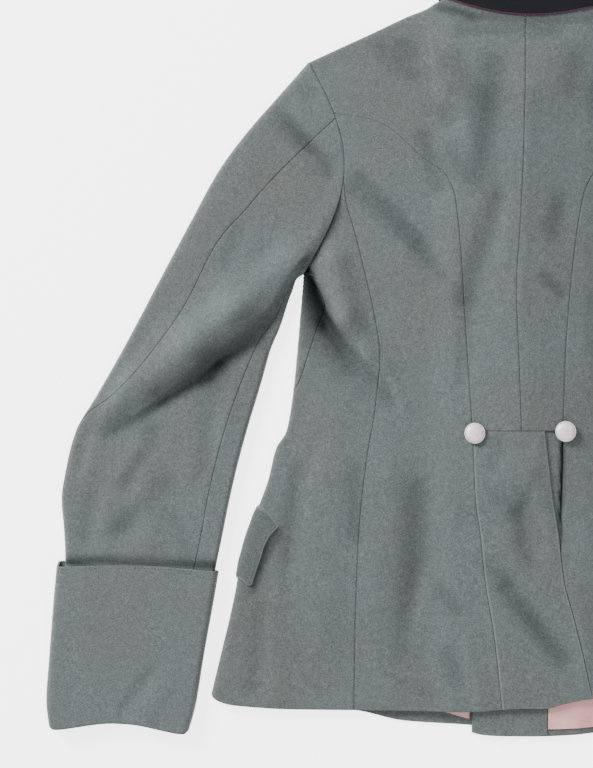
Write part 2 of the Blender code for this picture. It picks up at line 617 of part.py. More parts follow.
def centre_on_floor():
    """Moves all pieces so that the tunic's box stands centred over the origin."""
    meshes = [piece.data for piece in TUNIC.objects if piece.type == "MESH"]
    spots = np.array([vert.co for mesh in meshes for vert in mesh.vertices])
    middle = (spots.min(axis=0) + spots.max(axis=0)) / 2
    shift = (-middle[0], -middle[1], -spots[:, 2].min())
    for piece in TUNIC.objects:
        piece.data.transform(Matrix.Translation(shift))


for thing in list(bpy.data.objects):
    bpy.data.objects.remove(thing, do_unlink=True)
TUNIC = bpy.data.collections.new("military_tunic")
bpy.context.scene.collection.children.link(TUNIC)
CLOTH_MATERIAL = material("tunic_cloth", CLOTH_GREY, 0.9)
COLLAR_MATERIAL = material("collar_cloth", COLLAR_BLACK, 0.85)
PIPING_MATERIAL = material("collar_piping", PIPING_WINE, 0.7)
LINING_MATERIAL = material("pink_lining", LINING_PINK, 0.55)
BUTTON_MATERIAL = material("pale_button", BUTTON_SILVER, 0.4, 0.6)
make_back()
make_sides()
make_fronts()
make_sleeves()
make_flaps()
make_collar()
make_buttons()
centre_on_floor()
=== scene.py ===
import math

import bmesh
import bpy
import numpy as np
from mathutils import Matrix, Vector


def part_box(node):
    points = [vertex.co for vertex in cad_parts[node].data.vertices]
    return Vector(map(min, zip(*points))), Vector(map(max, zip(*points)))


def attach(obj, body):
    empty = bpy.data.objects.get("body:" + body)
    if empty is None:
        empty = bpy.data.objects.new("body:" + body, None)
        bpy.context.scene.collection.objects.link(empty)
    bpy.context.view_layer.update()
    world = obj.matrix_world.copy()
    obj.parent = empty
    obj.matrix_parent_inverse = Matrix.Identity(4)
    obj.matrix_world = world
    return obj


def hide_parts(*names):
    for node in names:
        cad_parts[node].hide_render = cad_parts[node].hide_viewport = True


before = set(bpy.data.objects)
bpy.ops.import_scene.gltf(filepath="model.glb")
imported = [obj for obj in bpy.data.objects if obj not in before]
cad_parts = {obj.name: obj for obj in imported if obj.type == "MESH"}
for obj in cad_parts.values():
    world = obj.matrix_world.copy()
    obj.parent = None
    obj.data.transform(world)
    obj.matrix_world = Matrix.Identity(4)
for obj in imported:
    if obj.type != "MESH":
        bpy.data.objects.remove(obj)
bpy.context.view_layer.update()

# Plan sizes are millimetres: across from the picture's left edge, down from the top of the back.
tunic = {
    "centre": 521.0,  # the centre back lies here
    "cloth": 2.0,  # wool wall
    "lining": 1.0,
    "liningGap": 0.1,  # between the lining and the cloth it is sewn to
    "layers": 7.9,  # height of back and front lying on each other
    "foldShare": 0.12,  # share of a turn that each side fold takes
    "deepest": 2.9,  # how far a trough may sink into the layers
    "inShade": 9.0,  # a trough this deep gets the whole painted shade
    "fade": 26.0,  # folds die out over this much before a side fold
    "ridge": 8.0,  # a roll's slow side becomes its steep one over this much
    "spacing": 3.8,  # between the mesh's rows and columns
    "seamRoll": 1.9,  # how wide cloth turns down into a seam
    "seamDip": 0.6,  # how far it turns down there
}
cuffBottom = 733  # the lowest corner of the left cuff, which the frame gives in metres
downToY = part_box("cuff_left")[0].y + cuffBottom / 1000


def smoothLine(points, x):  # a smooth line through (key, value) points, flat beyond its ends
    keys, values = np.array(points, float).T
    x = np.clip(x, keys[0], keys[-1])
    steps = np.diff(values) / np.diff(keys)
    bends = np.where(
        steps[1:] * steps[:-1] > 0,
        2 * steps[1:] * steps[:-1] / (steps[1:] + steps[:-1] + 1e-12),
        0,
    )
    slopes = np.concatenate([[steps[0]], bends, [steps[-1]]])
    k = np.clip(np.searchsorted(keys, x, side="right") - 1, 0, len(keys) - 2)
    wide = keys[k + 1] - keys[k]
    t = (x - keys[k]) / wide
    return (
        values[k] * (1 + 2 * t) * (1 - t) ** 2
        + values[k + 1] * t * t * (3 - 2 * t)
        + wide * (slopes[k] * t * (1 - t) ** 2 - slopes[k + 1] * t * t * (1 - t))
    )


def soften(t):  # 0 below 0, 1 above 1, with a soft start and end
    t = np.clip(t, 0, 1)
    return t * t * (3 - 2 * t)


def rise(value, start, length):
    return soften((value - start) / length)


def nearLine(x, y, start, end):  # how far along a straight line, as a share, and how far away from it
    (x0, y0), (dx, dy) = start, np.subtract(end, start)
    along = np.clip(((x - x0) * dx + (y - y0) * dy) / (dx * dx + dy * dy), 0, 1)
    return along, np.hypot(x - x0 - along * dx, y - y0 - along * dy)


def foldSum(table, x, y):  # straight folds, each fading away from its line
    total = np.zeros(np.shape(x))
    for x0, y0, x1, y1, high, spread in table:
        away = nearLine(x, y, (x0, y0), (x1, y1))[1]
        total = total + high * np.exp(-((away / spread) ** 2))
    return total


def streakSum(streaks, x, y):
    # Bent lines of (across, down, strength), which fade slowly on one side and steeply on the other.
    # Going from the first point on, the slow side is on the left in the picture.
    total = np.zeros(np.shape(x))
    for slow, steep, points in streaks:
        nearest, value = np.full(np.shape(x), 1e9), np.zeros(np.shape(x))
        for (x0, y0, first), (x1, y1, last) in zip(points, points[1:]):
            along, away = nearLine(x, y, (x0, y0), (x1, y1))
            beside = ((y1 - y0) * (x - x0) - (x1 - x0) * (y - y0)) / math.hypot(x1 - x0, y1 - y0)
            spread = steep + (slow - steep) * soften(0.5 + beside / tunic["ridge"])
            here = (first + (last - first) * along) * np.exp(-((away / spread) ** 2))
            value = np.where(away < nearest, here, value)
            nearest = np.minimum(nearest, away)
        total = total + value
    return total


def foldHeight(table, rolls, deepest, x, y):
    total = foldSum(table, x, y) + streakSum(rolls, x, y)
    return np.where(total < 0, -deepest * np.tanh(-total / deepest), total)


def unevenness(x, y):  # the slow rise and fall of wool that lies by itself
    slow = np.sin(x / 19 + 1.4 * np.sin(y / 43)) * np.sin(y / 27 + 1.1 * np.sin(x / 37))
    quick = np.sin(x / 9.5 + y / 14 + 2 * np.sin(y / 31)) * np.sin(y / 12 - x / 21)
    return 0.34 * slow + 0.12 * quick


# Folds: start and end in plan, height, spread. A trough has a negative height.
folds = {
    "body": [
        (334, 262, 346, 318, 6, 15), (346, 318, 378, 366, 5, 14), (308, 280, 322, 322, -2.6, 10),
        (324, 326, 372, 372, -2.8, 10), (410, 50, 452, 120, -2.4, 12), (420, 67, 440, 100, 2, 9),
        (495, 65, 478, 180, -2.4, 14), (427, 140, 440, 185, -2.2, 9), (497, 200, 466, 300, -2.4, 12),
        (365, 182, 420, 245, -2.4, 11), (420, 245, 442, 275, -2.2, 9), (387, 52, 415, 77, -1.8, 10),
        (580, 62, 572, 90, -1.8, 14), (560, 207, 555, 235, -1.8, 10), (545, 277, 562, 295, -1.8, 6),
        (418, 493, 408, 650, -2.6, 13), (432, 577, 413, 643, 2.2, 10), (433, 577, 457, 610, -1.8, 7),
        (448, 655, 458, 680, -1.6, 9), (493, 497, 512, 512, -0.6, 6), (530, 487, 517, 515, -1, 8),
        (517, 515, 530, 563, -1.1, 9), (490, 567, 510, 583, -1.6, 7), (507, 590, 563, 660, -2.6, 10),
        (357, 470, 356, 540, -2, 9), (330, 420, 318, 640, 2, 22), (462, 33, 560, 33, -1.5, 7),
        (640, 250, 690, 350, 2.2, 16), (625, 480, 640, 640, -2.4, 14), (655, 500, 668, 600, 2, 12),
        (600, 90, 630, 150, -2, 12), (700, 262, 668, 366, 5, 15), (734, 280, 700, 372, -2.6, 10),
        # Smaller creases, which only the cloth has.
        (441, 10, 478, 21, -1.6, 5), (455, 62, 476, 92, -1.6, 11), (434, 62, 446, 86, 1.6, 6),
        (446, 88, 470, 150, 1.3, 10), (352, 190, 400, 232, -1, 9), (372, 168, 452, 262, 1.2, 12),
        (400, 262, 430, 300, 0.9, 10), (528, 90, 520, 300, 0.9, 9), (548, 60, 566, 110, 1, 12),
        (377, 366, 392, 402, -1.7, 8), (392, 380, 404, 405, 0.9, 6), (330, 330, 352, 372, -1.4, 9),
        (386, 420, 396, 520, 1, 12), (470, 300, 462, 380, -1, 9), (512, 150, 506, 260, 0.8, 9),
        (500, 440, 492, 470, -1.1, 6), (538, 440, 534, 470, 1, 6), (546, 500, 552, 560, 0.9, 6),
        (372, 560, 380, 660, 1, 14), (300, 470, 292, 560, -1.1, 12), (262, 610, 252, 690, -1.2, 10),
        (280, 600, 276, 700, 1, 12), (470, 640, 480, 700, 0.9, 8), (395, 680, 440, 700, -0.8, 7),
        (320, 440, 306, 470, -1, 8), (525, 470, 540, 500, 1.1, 7), (575, 590, 590, 660, 1, 9),
        (600, 300, 620, 420, -1.1, 12), (660, 180, 690, 240, -1.4, 12), (706, 400, 730, 560, 1.1, 16),
        (760, 600, 778, 690, -1.2, 11), (610, 560, 622, 690, 0.9, 10), (640, 60, 660, 110, 1.2, 12),
    ],
    "sleeve": [
        (292, 262, 232, 312, 7.5, 19), (232, 312, 190, 345, 8, 21), (190, 345, 118, 398, 6, 19),
        (270, 322, 216, 362, -2.6, 10), (216, 362, 160, 398, -3, 11), (160, 398, 112, 432, -2.4, 10),
        (153, 433, 130, 483, -2, 9), (173, 483, 117, 533, -2, 10), (285, 120, 330, 172, -2.4, 9),
        (299, 82, 308, 93, -1.6, 8), (140, 460, 150, 540, 1.8, 14), (205, 200, 165, 262, 2, 20),
        # Smaller creases, which only the cloth has.
        (336, 205, 306, 262, 2.6, 9), (296, 288, 247, 333, 2.2, 10), (247, 333, 197, 370, 2, 9),
        (197, 370, 140, 413, 1.7, 10), (252, 345, 206, 378, -1.6, 9), (206, 378, 168, 402, -1.6, 9),
        (282, 118, 312, 150, -1.2, 6), (296, 108, 332, 150, 1.3, 7), (316, 160, 338, 175, 1.1, 6),
        (262, 130, 246, 172, 0.9, 12), (240, 232, 226, 268, -1.1, 9), (268, 250, 240, 284, -1, 9),
        (150, 300, 132, 340, -1, 9), (128, 372, 100, 404, 1.1, 10), (84, 436, 74, 470, -1.3, 7),
        (96, 442, 86, 480, 1.1, 7), (150, 440, 120, 476, 1.2, 8), (190, 470, 150, 508, 1.2, 9),
        (210, 420, 204, 470, -0.9, 9), (92, 500, 84, 540, -1.2, 9), (176, 520, 190, 552, -1, 9),
        (232, 400, 222, 440, 1, 8), (110, 500, 104, 546, 1, 9),
    ],
    "cuff": [(154, 676, 122, 724, -1.7, 6), (166, 690, 146, 722, 0.9, 8), (128, 610, 150, 650, 0.8, 14),
             (70, 640, 76, 700, -0.8, 9)],
}
# Rolls of cloth with a steep side: (slow side's spread, steep side's spread, points).
rolls = {
    "body": [
        (17, 5, [(379, 374, 0), (354, 352, 3), (330, 318, 4.2), (317, 288, 4.5), (306, 256, 2)]),
        (5, 17, [(668, 372, 0), (690, 352, 2.4), (712, 322, 3.4), (724, 292, 3.6), (735, 262, 1.6)]),
    ],
    "sleeve": [
        (21, 4.5, [(98, 434, 0), (138, 412, 3.2), (168, 390, 4.6), (197, 370, 5), (223, 350, 5),
                   (248, 332, 4.6), (272, 312, 3.8), (300, 286, 1.5)]),
    ],
}
# Painted shade: where the cloth's colour is darkened for the shade in its creases and the shadows of rolls,
# collar, pleats and cuff lips, given as rolls are.
paintedShades = {
    "body": [
        (5, 24, [(304, 262, 0.9), (314, 286, 1), (324, 312, 0.95), (339, 338, 0.6), (360, 364, 0.3),
                 (398, 402, 0)]),
        (5, 24, [(644, 402, 0), (682, 364, 0.3), (703, 338, 0.6), (718, 312, 0.9), (728, 286, 1),
                 (738, 262, 0.9)]),
        (9, 4, [(693, 200, 0.15), (706, 222, 0.3), (724, 252, 0.35), (738, 270, 0.2)]),
        (9, 9, [(446, 132, 0), (451, 156, 0.22), (458, 182, 0)]),
        (13, 13, [(498, 50, 0), (488, 110, 0.16), (480, 185, 0)]),
        (12, 12, [(507, 110, 0), (500, 170, 0.12), (496, 225, 0)]),
        (11, 11, [(424, 44, 0), (440, 78, 0.14), (455, 112, 0)]),
        (12, 12, [(372, 176, 0), (402, 218, 0.16), (436, 268, 0)]),
        (4, 9, [(349, 196, 0), (336, 222, 0.3), (318, 252, 0.35), (304, 270, 0.2)]),
        (5, 5, [(441, 8, 0.3), (474, 17, 0.35), (530, 21, 0.3), (593, 19, 0.25)]),
        (1.2, 2.3, [(561.6, 440, 1), (561.2, 470, 1), (560.4, 500, 1), (560, 520, 0.9),
                    (562, 540, 0.3)]),
        (6, 8, [(534, 482, 0), (520, 508, 0.2), (520, 540, 0.16), (530, 566, 0)]),
        (5, 5, [(490, 488, 0), (500, 495, 0.14), (510, 501, 0)]),
        (9, 12, [(505, 582, 0), (530, 618, 0.16), (566, 664, 0)]),
        (13, 10, [(418, 482, 0), (414, 560, 0.12), (408, 650, 0)]),
        (6, 6, [(545, 274, 0), (554, 286, 0.14), (564, 298, 0)]),
        (4, 8, [(279, 534, 0.35), (268, 552, 0.5), (260, 572, 0.5), (254, 590, 0.35), (246, 596, 0.15)]),
        (4, 9, [(296, 470, 0.12), (288, 520, 0.16), (282, 600, 0.1), (270, 690, 0)]),
    ],
    "sleeve": [
        (24, 6, [(92, 440, 0), (142, 416, 0.18), (168, 396, 0.3), (199, 375, 0.42), (226, 355, 0.46),
                 (251, 337, 0.42), (275, 317, 0.3), (298, 296, 0.22), (306, 282, 0.2)]),
        (18, 18, [(250, 356, 0), (212, 386, 0.2), (176, 410, 0)]),
        (7, 7, [(284, 112, 0), (306, 140, 0.22), (332, 172, 0.1)]),
        (5, 8, [(334, 200, 0.15), (322, 236, 0.3), (304, 262, 0.3)]),
        (8, 9, [(156, 426, 0), (142, 458, 0.16), (128, 488, 0)]),
        (9, 10, [(176, 476, 0), (146, 508, 0.16), (114, 538, 0)]),
        (12, 12, [(272, 262, 0), (252, 282, 0.12), (224, 300, 0)]),
        (2.6, 6, [(217, 566, 0.75), (178, 564, 0.6), (140, 562, 0.5), (100, 561, 0.6), (62, 563, 0.8)]),
    ],
}

underLayers = {
    # A step is as high as its "Step" says, and each of its sides has a start and a length.
    "buttonStep": 6.9, "buttonSpread": 46.0,  # the closed fronts lie on their buttons
    "buttonsStart": (2.0, 90.0), "buttonsEnd": (526.0, 60.0),
    "overlap": 49.0, "overlapStep": 3.1,  # the inner front lies on the outer one
    "collarStep": 2.7, "collarSide": (125.0, 45.0), "collarEnd": (125.0, 40.0),
    "flapStep": 2.7, "flapSide": (92.0, 50.0), "flapTop": (430.0, 55.0), "flapEnd": (668.0, 75.0),
    "frontEdge": (75.0, 22.0), "backEdge": (89.0, 30.0), "backFoot": (-95.0, 30.0),
}


def stepUp(name, value):
    return rise(value, *underLayers[name])


def stepDown(name, value):
    start, length = underLayers[name]
    return soften((start - value) / length)


def frontLow(x, y):  # how far buttons, collar and pocket flaps underneath hold the fronts up
    side = np.abs(x - tunic["centre"])
    closing = underLayers["buttonStep"] * np.exp(-((side / underLayers["buttonSpread"]) ** 2))
    closing = closing * stepUp("buttonsStart", y) * stepDown("buttonsEnd", y)
    collar = underLayers["collarStep"] * stepDown("collarSide", side) * stepDown("collarEnd", y)
    flap = stepUp("flapSide", side) * stepUp("flapTop", y) * stepDown("flapEnd", y)
    return closing + collar + underLayers["flapStep"] * flap


def innerLow(x, y):  # the inner front steps up on to the outer one
    inner = stepDown("frontEdge", x - tunic["centre"])
    return frontLow(x, y) + underLayers["overlapStep"] * inner


def backHigh(x, y):
    across = x - tunic["centre"]
    middle = stepDown("backEdge", across) * stepUp("backFoot", across)
    return tunic["layers"] + frontLow(x, y) + underLayers["overlapStep"] * middle


class ClothTube:
    # A flattened tube of cloth. Turns: 0 is the left fold, 0 to 1 the upper side, 1 the right fold,
    # and -1 to 0 the lower side.
    def __init__(self, ends, low, high, part, rowSize, roll=None):
        self.ends, self.low, self.high, self.rowSize, self.roll = ends, low, high, rowSize, roll
        self.folds, self.rolls, self.paintedShades = (kind.get(part, []) for kind in (folds, rolls, paintedShades))

    def arcs(self, row):  # how far round a fold and a flat side are
        left, right, _ = self.ends(row)
        return math.pi * tunic["layers"] / 2, np.hypot(*(right - left)) - tunic["layers"]

    def arcAt(self, turn, row):
        fold, flat = self.arcs(row)
        share = tunic["foldShare"]
        whole = np.floor(turn + share)
        part = turn + share - whole
        round_ = np.minimum(part, 2 * share) / (2 * share) * fold
        return whole * (fold + flat) + round_ + np.maximum(part - 2 * share, 0) / (1 - 2 * share) * flat

    def turnAtArc(self, arc, row):
        fold, flat = self.arcs(row)
        share = tunic["foldShare"]
        whole = np.floor(arc / (fold + flat))
        part = arc - whole * (fold + flat)
        beyond = np.maximum(part - fold, 0) / flat * (1 - 2 * share)
        return whole - share + np.minimum(part, fold) / fold * 2 * share + beyond

    def point(self, turn, row):  # across, down, up, and how much painted shade
        turn, row = np.broadcast_arrays(np.asarray(turn, float), np.asarray(row, float))
        left, right, bows = self.ends(row)
        wide = np.hypot(*(right - left))
        radius, foldShare = tunic["layers"] / 2, tunic["foldShare"]
        nearest, start = np.round(turn), np.floor(turn)
        bent = np.abs(turn - nearest) < foldShare
        side = np.where(nearest % 2 == 0, 1, -1)
        angle = (turn - nearest) / foldShare * math.pi / 2
        straight = (turn - start - foldShare) / (1 - 2 * foldShare)
        straight = np.where(start % 2 == 0, straight, 1 - straight)
        reach = np.where(bent, radius * (1 - np.cos(angle)), radius + straight * (wide - 2 * radius))
        across = np.where(bent & (side < 0), wide - reach, reach)
        share = np.where(bent, (1 + side * np.sin(angle)) / 2, np.where(start % 2 == 0, 1, 0))
        bow = (bows[0] * share + bows[1] * (1 - share)) * np.sin(math.pi * across / wide)
        x, y = left + (right - left) * across / wide + bow
        fade = rise(np.minimum(across, wide - across), 1, tunic["fade"])
        high, low = self.high(x, y), self.low(x, y)
        deepest = tunic["deepest"] + high - low - tunic["layers"]
        raised = foldHeight(self.folds, self.rolls, np.maximum(deepest, 0.5), x, y) * fade
        # Painted shade: deeper troughs and the listed streaks darken the colour.
        shade = np.maximum(-raised / tunic["inShade"], 0) + streakSum(self.paintedShades, x, y)
        shade = np.clip(shade, 0, 1) * share
        high = high + raised + unevenness(x, y) * fade
        if self.roll:
            share = 0.5 + (share - 0.5) * self.roll(x, y)
        return np.stack([x, y, low * (1 - share) + high * share], -1), shade

    def normal(self, turn, row):
        roundBy, alongBy = 0.001, 0.0005 * self.rowSize
        roundStep = self.point(turn + roundBy, row)[0] - self.point(turn - roundBy, row)[0]
        alongStep = self.point(turn, row + alongBy)[0] - self.point(turn, row - alongBy)[0]
        out = np.cross(roundStep, alongStep)
        return out / np.linalg.norm(out, axis=-1, keepdims=True)

    def turnAt(self, x, row):  # the turn on the upper side at which a level row is at x
        left, right, _ = self.ends(row)
        share = (x - left[0] - tunic["layers"] / 2) / (right[0] - left[0] - tunic["layers"])
        return tunic["foldShare"] + share * (1 - 2 * tunic["foldShare"])


# Outlines and seams of the body: (down, across), as the solids have them.
bodyCut = {
    "side": [
        (-40, 296), (61, 296), (240, 300), (274, 303), (304, 301), (352, 297), (400, 292), (432, 286),
        (448, 276), (480, 268), (528, 250), (560, 240.5), (592, 235), (640, 224), (699, 210),
    ],
    "princessLeft": [
        (113.4, 334.9), (118, 367), (128, 390), (140.5, 405), (156, 421), (175, 446), (197.5, 455),
        (250, 460.5), (350, 466.7), (431, 472), (500, 475.3), (533, 480), (583, 485.3), (633, 493.6),
        (714, 502.5),
    ],
    "princessRight": [
        (113.4, 707.1), (118, 675), (128, 650), (140.5, 632), (156, 614), (172.5, 594), (192.5, 584),
        (225, 577.5), (262.5, 572.5), (300, 568.6), (350, 565), (431, 562),
    ],
    "sideSeam": [
        (175, 343.8), (197.5, 345.5), (232.5, 355), (262.5, 362.5), (317.5, 375), (353, 380),
        (410, 375), (457, 367), (517, 360), (567, 357), (633, 355), (712, 354),
    ],
    "centreSeam": [
        (-10, 525.7), (75, 524), (150, 522.5), (225, 519), (288, 515.3), (367, 518.3), (431, 520.5),
    ],
    "tailRight": [
        (431, 544), (452, 546.4), (494, 551.6), (535, 558.4), (580, 563.5), (617, 573), (657, 583),
        (714, 596),
    ],
    "pleatOpen": [(431, 18), (452, 14), (483, 10), (504, 6.5), (535, 2.8), (556, 0.35), (714, 0.35)],
    # Arc length from the side fold, back side positive.
    "frontSeam": [
        (274, 5.9), (284, 14), (298, 24), (307, 26), (318, 23.5), (329, 20), (341, 17), (356, 13.5),
        (382, 7), (395, 0), (450, -26), (520, -40), (712, -46),
    ],
    "waist": 431.0, "sidePanelTop": 181.0, "tall": (62.0, 735.0),
    "closeRows": (113.4, 146, 0.6),  # rows 0.6 apart carry the sharp start of the princess seams
    # From here on (across, down).
    "shoulder": [(296, 68), (312, 60.5), (339, 48), (374, 32), (408, 16), (425, 9.6), (440, 1), (446, -0.5)],
    "backHem": [
        (210, 692.5), (213, 698), (219, 702), (235, 706), (298, 709.7), (380, 710.6), (469, 711.8),
        (521, 708.5), (545, 708.5), (563, 704), (593, 699), (662, 709), (744, 709.7), (807, 706),
        (823, 702), (829, 698), (832, 692.5),
    ],
    "frontHem": [
        (210, 692.5), (214, 698), (300, 708.5), (354, 711.5), (404, 722), (471, 726.5), (521, 732),
        (575, 735),
    ],
    "innerHem": [
        (472, 733.5), (484, 736.2), (501, 737.3), (534, 737.6), (566, 736.5), (640, 729), (735, 709),
        (832, 698),
    ],
    "liningHem": [(380, 706), (438, 711.5), (471, 720), (548, 729.8), (593, 728), (700, 714)],
}
neck = {
    "left": 446.0, "wide": 150.0, "top": -0.5, "tilt": 8.0, "tiltFrom": (330.0, 90.0),
    "backDip": 6.0, "frontDip": 70.0,
}
armhole = {
    "top": (309.0, 61.0), "end": (304.0, 274.0), "bow": 38.0,
    "under": 0.12,  # the body reaches this far under the sleeve
    "closed": 0.11, "closing": (-14.0, 12.0),  # it closes round the side fold just above the armpit
}


def bodyEnds(row):
    left = smoothLine(bodyCut["side"], row)
    none = np.zeros((2, *np.shape(row)))
    return np.stack([left, row]), np.stack([2 * tunic["centre"] - left, row]), (none, none)


def shoulderRow(x):
    near = tunic["centre"] - np.abs(x - tunic["centre"])
    tilt = neck["tilt"] * rise(near, *neck["tiltFrom"])
    return smoothLine(bodyCut["shoulder"], near) + np.where(x > tunic["centre"], tilt, 0)


def shoulderRoll(x, y):  # 1 on the layers, falling to 0 at the shoulder edge, where back and front meet
    near = np.clip((y - shoulderRow(x)) / (tunic["layers"] / 2), 0.0015, 1)
    rolled = 0.3 + 0.7 * np.sqrt(1 - (1 - near) ** 2)
    return 1 - (1 - rolled) * rise(np.abs(x - tunic["centre"]), neck["wide"] / 2 + 1, 8)


bodyTube = ClothTube(bodyEnds, frontLow, backHigh, "body", 100, shoulderRoll)
innerTube = ClothTube(bodyEnds, innerLow, backHigh, "body", 100, shoulderRoll)


def place(spots, mirrored=False):  # metres in the frame, from plan millimetres
    side = -1 if mirrored else 1
    x = side * (spots[..., 0] - tunic["centre"]) / 1000
    return np.stack([x, downToY - spots[..., 1] / 1000, spots[..., 2] / 1000], -1)


def addNode(tree, kind, inputs=None, **settings):
    node = tree.nodes.new(kind)
    for name, value in settings.items():
        setattr(node, name, value)
    for name, value in (inputs or {}).items():
        if isinstance(value, bpy.types.NodeSocket):
            tree.links.new(value, node.inputs[name])
        else:
            node.inputs[name].default_value = value
    return node


def newFinish(name, **sockets):
    made = bpy.data.materials.new(name)
    made.use_nodes = True
    shader = made.node_tree.nodes["Principled BSDF"]
    for socket, value in sockets.items():
        shader.inputs[socket.replace("_", " ")].default_value = value
    return made, made.node_tree, shader


def ramp(tree, fac, stops):
    node = addNode(tree, "ShaderNodeValToRGB", {"Fac": fac})
    for number, (spot, colour) in enumerate(stops):
        stop = node.color_ramp.elements[number] if number < 2 else node.color_ramp.elements.new(spot)
        stop.position, stop.color = spot, (*colour, 1)
    return node.outputs["Color"]


def blend(tree, kind, fac, first, second):
    node = addNode(tree, "ShaderNodeMix", data_type="RGBA", blend_type=kind)
    for socket, value in ((node.inputs[0], fac), (node.inputs[6], first), (node.inputs[7], second)):
        if isinstance(value, bpy.types.NodeSocket):
            tree.links.new(value, socket)
        else:
            socket.default_value = value if socket == node.inputs[0] else (*value, 1)
    return node.outputs[2]


def noise(tree, spot, scale, detail, rough):
    inputs = {"Vector": spot, "Scale": scale, "Detail": detail, "Roughness": rough}
    return addNode(tree, "ShaderNodeTexNoise", inputs).outputs["Fac"]


def wave(tree, spot, scale, distortion, detail):
    inputs = {"Vector": spot, "Scale": scale, "Distortion": distortion, "Detail": detail}
    return addNode(tree, "ShaderNodeTexWave", inputs, bands_direction="DIAGONAL").outputs["Fac"]


def scaled(tree, value, low, high):  # a 0 to 1 value brought to another range
    inputs = {"Value": value, "To Min": low, "To Max": high}
    return addNode(tree, "ShaderNodeMapRange", inputs).outputs["Result"]


def attribute(tree, name):
    return addNode(tree, "ShaderNodeAttribute", attribute_name=name).outputs["Fac"]


def joinShader(tree, shader, colour, rough, height, strength, distance):
    inputs = {"Strength": strength, "Distance": distance, "Height": height}
    bump = addNode(tree, "ShaderNodeBump", inputs).outputs["Normal"]
    for socket, value in (("Base Color", colour), ("Roughness", rough), ("Normal", bump)):
        tree.links.new(value, shader.inputs[socket])


# What colour is multiplied by in painted shade and along a seam, and how much the cloth shines.
clothFinish = {
    "shade": (0.03, 0.03, 0.03), "seam": (0.48, 0.46, 0.44), "specular": 0.22, "cloud": 0.28, "tinted": 0.7,
}
# Dark, middle and pale colour, the tint that multiplies them in patches, the scales of fleck, mottle
# and patches, the sheen, and whether the cloth gets painted shade, darker seams and a painted highlight along
# edges.
cloths = {
    "fieldWool": (
        (0.035, 0.043, 0.043), (0.079, 0.0935, 0.096), (0.152, 0.176, 0.173), (1.0, 0.88, 0.83),
        (760, 210, 10), 0.22, True,
    ),
    "collarWool": (
        (0.0016, 0.0018, 0.0032), (0.0028, 0.0031, 0.0052), (0.0062, 0.0066, 0.0098), (0.95, 0.92, 0.9),
        (700, 210, 14), 0.06, False,
    ),
    "wineCord": (
        (0.045, 0.010, 0.030), (0.075, 0.016, 0.048), (0.12, 0.03, 0.08), (0.9, 0.9, 0.85),
        (800, 300, 20), 0.1, False,
    ),
    "sewingThread": (
        (0.075, 0.09, 0.088), (0.10, 0.12, 0.115), (0.14, 0.16, 0.155), (1.0, 0.9, 0.85),
        (1200, 400, 30), 0.1, False,
    ),
}


def woolFinish(name, dark, middle, pale, tint, scales, sheen, marked):
    specular = clothFinish["specular"]
    made, tree, shader = newFinish(
        name, Sheen_Roughness=0.45, Sheen_Weight=sheen, Specular_IOR_Level=specular
    )
    spot = addNode(tree, "ShaderNodeTexCoord").outputs["Object"]
    details = ((4, 0.7), (4, 0.65), (3, 0.5))
    fleck, mottle, patch = (noise(tree, spot, scale, *detail) for scale, detail in zip(scales, details))
    yarn = ramp(tree, fleck, [(0.3, dark), (0.7, pale), (0.5, middle)])
    cloud = ramp(tree, mottle, [(0.3, dark), (0.72, pale), (0.52, middle)])
    colour = blend(tree, "MIX", clothFinish["cloud"], yarn, cloud)
    patches = ramp(tree, patch, [(0.4, (0, 0, 0)), (0.7, (1, 1, 1))])
    colour = blend(tree, "MULTIPLY", scaled(tree, patches, 0, clothFinish["tinted"]), colour, tint)
    if marked:
        # Painted shade darkens the colour and takes away sheen and specular level; a painted highlight pales
        # the listed edges.
        paintedShade = attribute(tree, "paintedShade")
        colour = blend(tree, "MULTIPLY", paintedShade, colour, clothFinish["shade"])
        colour = blend(tree, "MULTIPLY", attribute(tree, "seam"), colour, clothFinish["seam"])
        colour = blend(tree, "MIX", attribute(tree, "worn"), colour, pale)
        tree.links.new(scaled(tree, paintedShade, sheen, 0), shader.inputs["Sheen Weight"])
        tree.links.new(scaled(tree, paintedShade, specular, 0), shader.inputs["Specular IOR Level"])
    nap = noise(tree, spot, 1500, 3, 0.7)
    height = blend(tree, "MIX", 0.3, blend(tree, "MIX", 0.5, nap, fleck), wave(tree, spot, 330, 1.6, 2))
    joinShader(tree, shader, colour, scaled(tree, mottle, 0.82, 0.98), height, 0.5, 0.00045)
    return made


def satinFinish():  # the dusty pink lining
    made, tree, shader = newFinish("pinkLining", Sheen_Weight=0.1, Specular_IOR_Level=0.45)
    spot = addNode(tree, "ShaderNodeTexCoord").outputs["Object"]
    rib = wave(tree, spot, 420, 0.8, 1)
    wash = noise(tree, spot, 38, 4, 0.6)
    colour = ramp(tree, wash, [(0.3, (0.54, 0.27, 0.25)), (0.7, (0.72, 0.39, 0.37))])
    weave = ramp(tree, rib, [(0.2, (0.86, 0.86, 0.86)), (0.8, (1, 1, 1))])
    colour = blend(tree, "MULTIPLY", 1.0, colour, weave)
    joinShader(tree, shader, colour, scaled(tree, wash, 0.42, 0.6), rib, 0.3, 0.0003)
    return made


def buttonFinish():  # pale matt silver, pinkish with wear, darker round its rim
    made, tree, shader = newFinish("paleSilver", Metallic=0.35, Specular_IOR_Level=0.5)
    spot = addNode(tree, "ShaderNodeTexCoord").outputs["Object"]
    grain = noise(tree, spot, 900, 4, 0.6)
    wear = noise(tree, spot, 240, 3, 0.6)
    colour = ramp(tree, wear, [(0.3, (0.70, 0.56, 0.59)), (0.7, (0.88, 0.79, 0.82))])
    colour = blend(tree, "MULTIPLY", attribute(tree, "seam"), colour, (0.6, 0.55, 0.56))
    joinShader(tree, shader, colour, scaled(tree, wear, 0.42, 0.62), grain, 0.45, 0.0003)
    return made


wool, collarWool, pipingWool, thread = (woolFinish(name, *looks) for name, looks in cloths.items())
pinkLining = satinFinish()
paleSilver = buttonFinish()
print("finishes are ready")


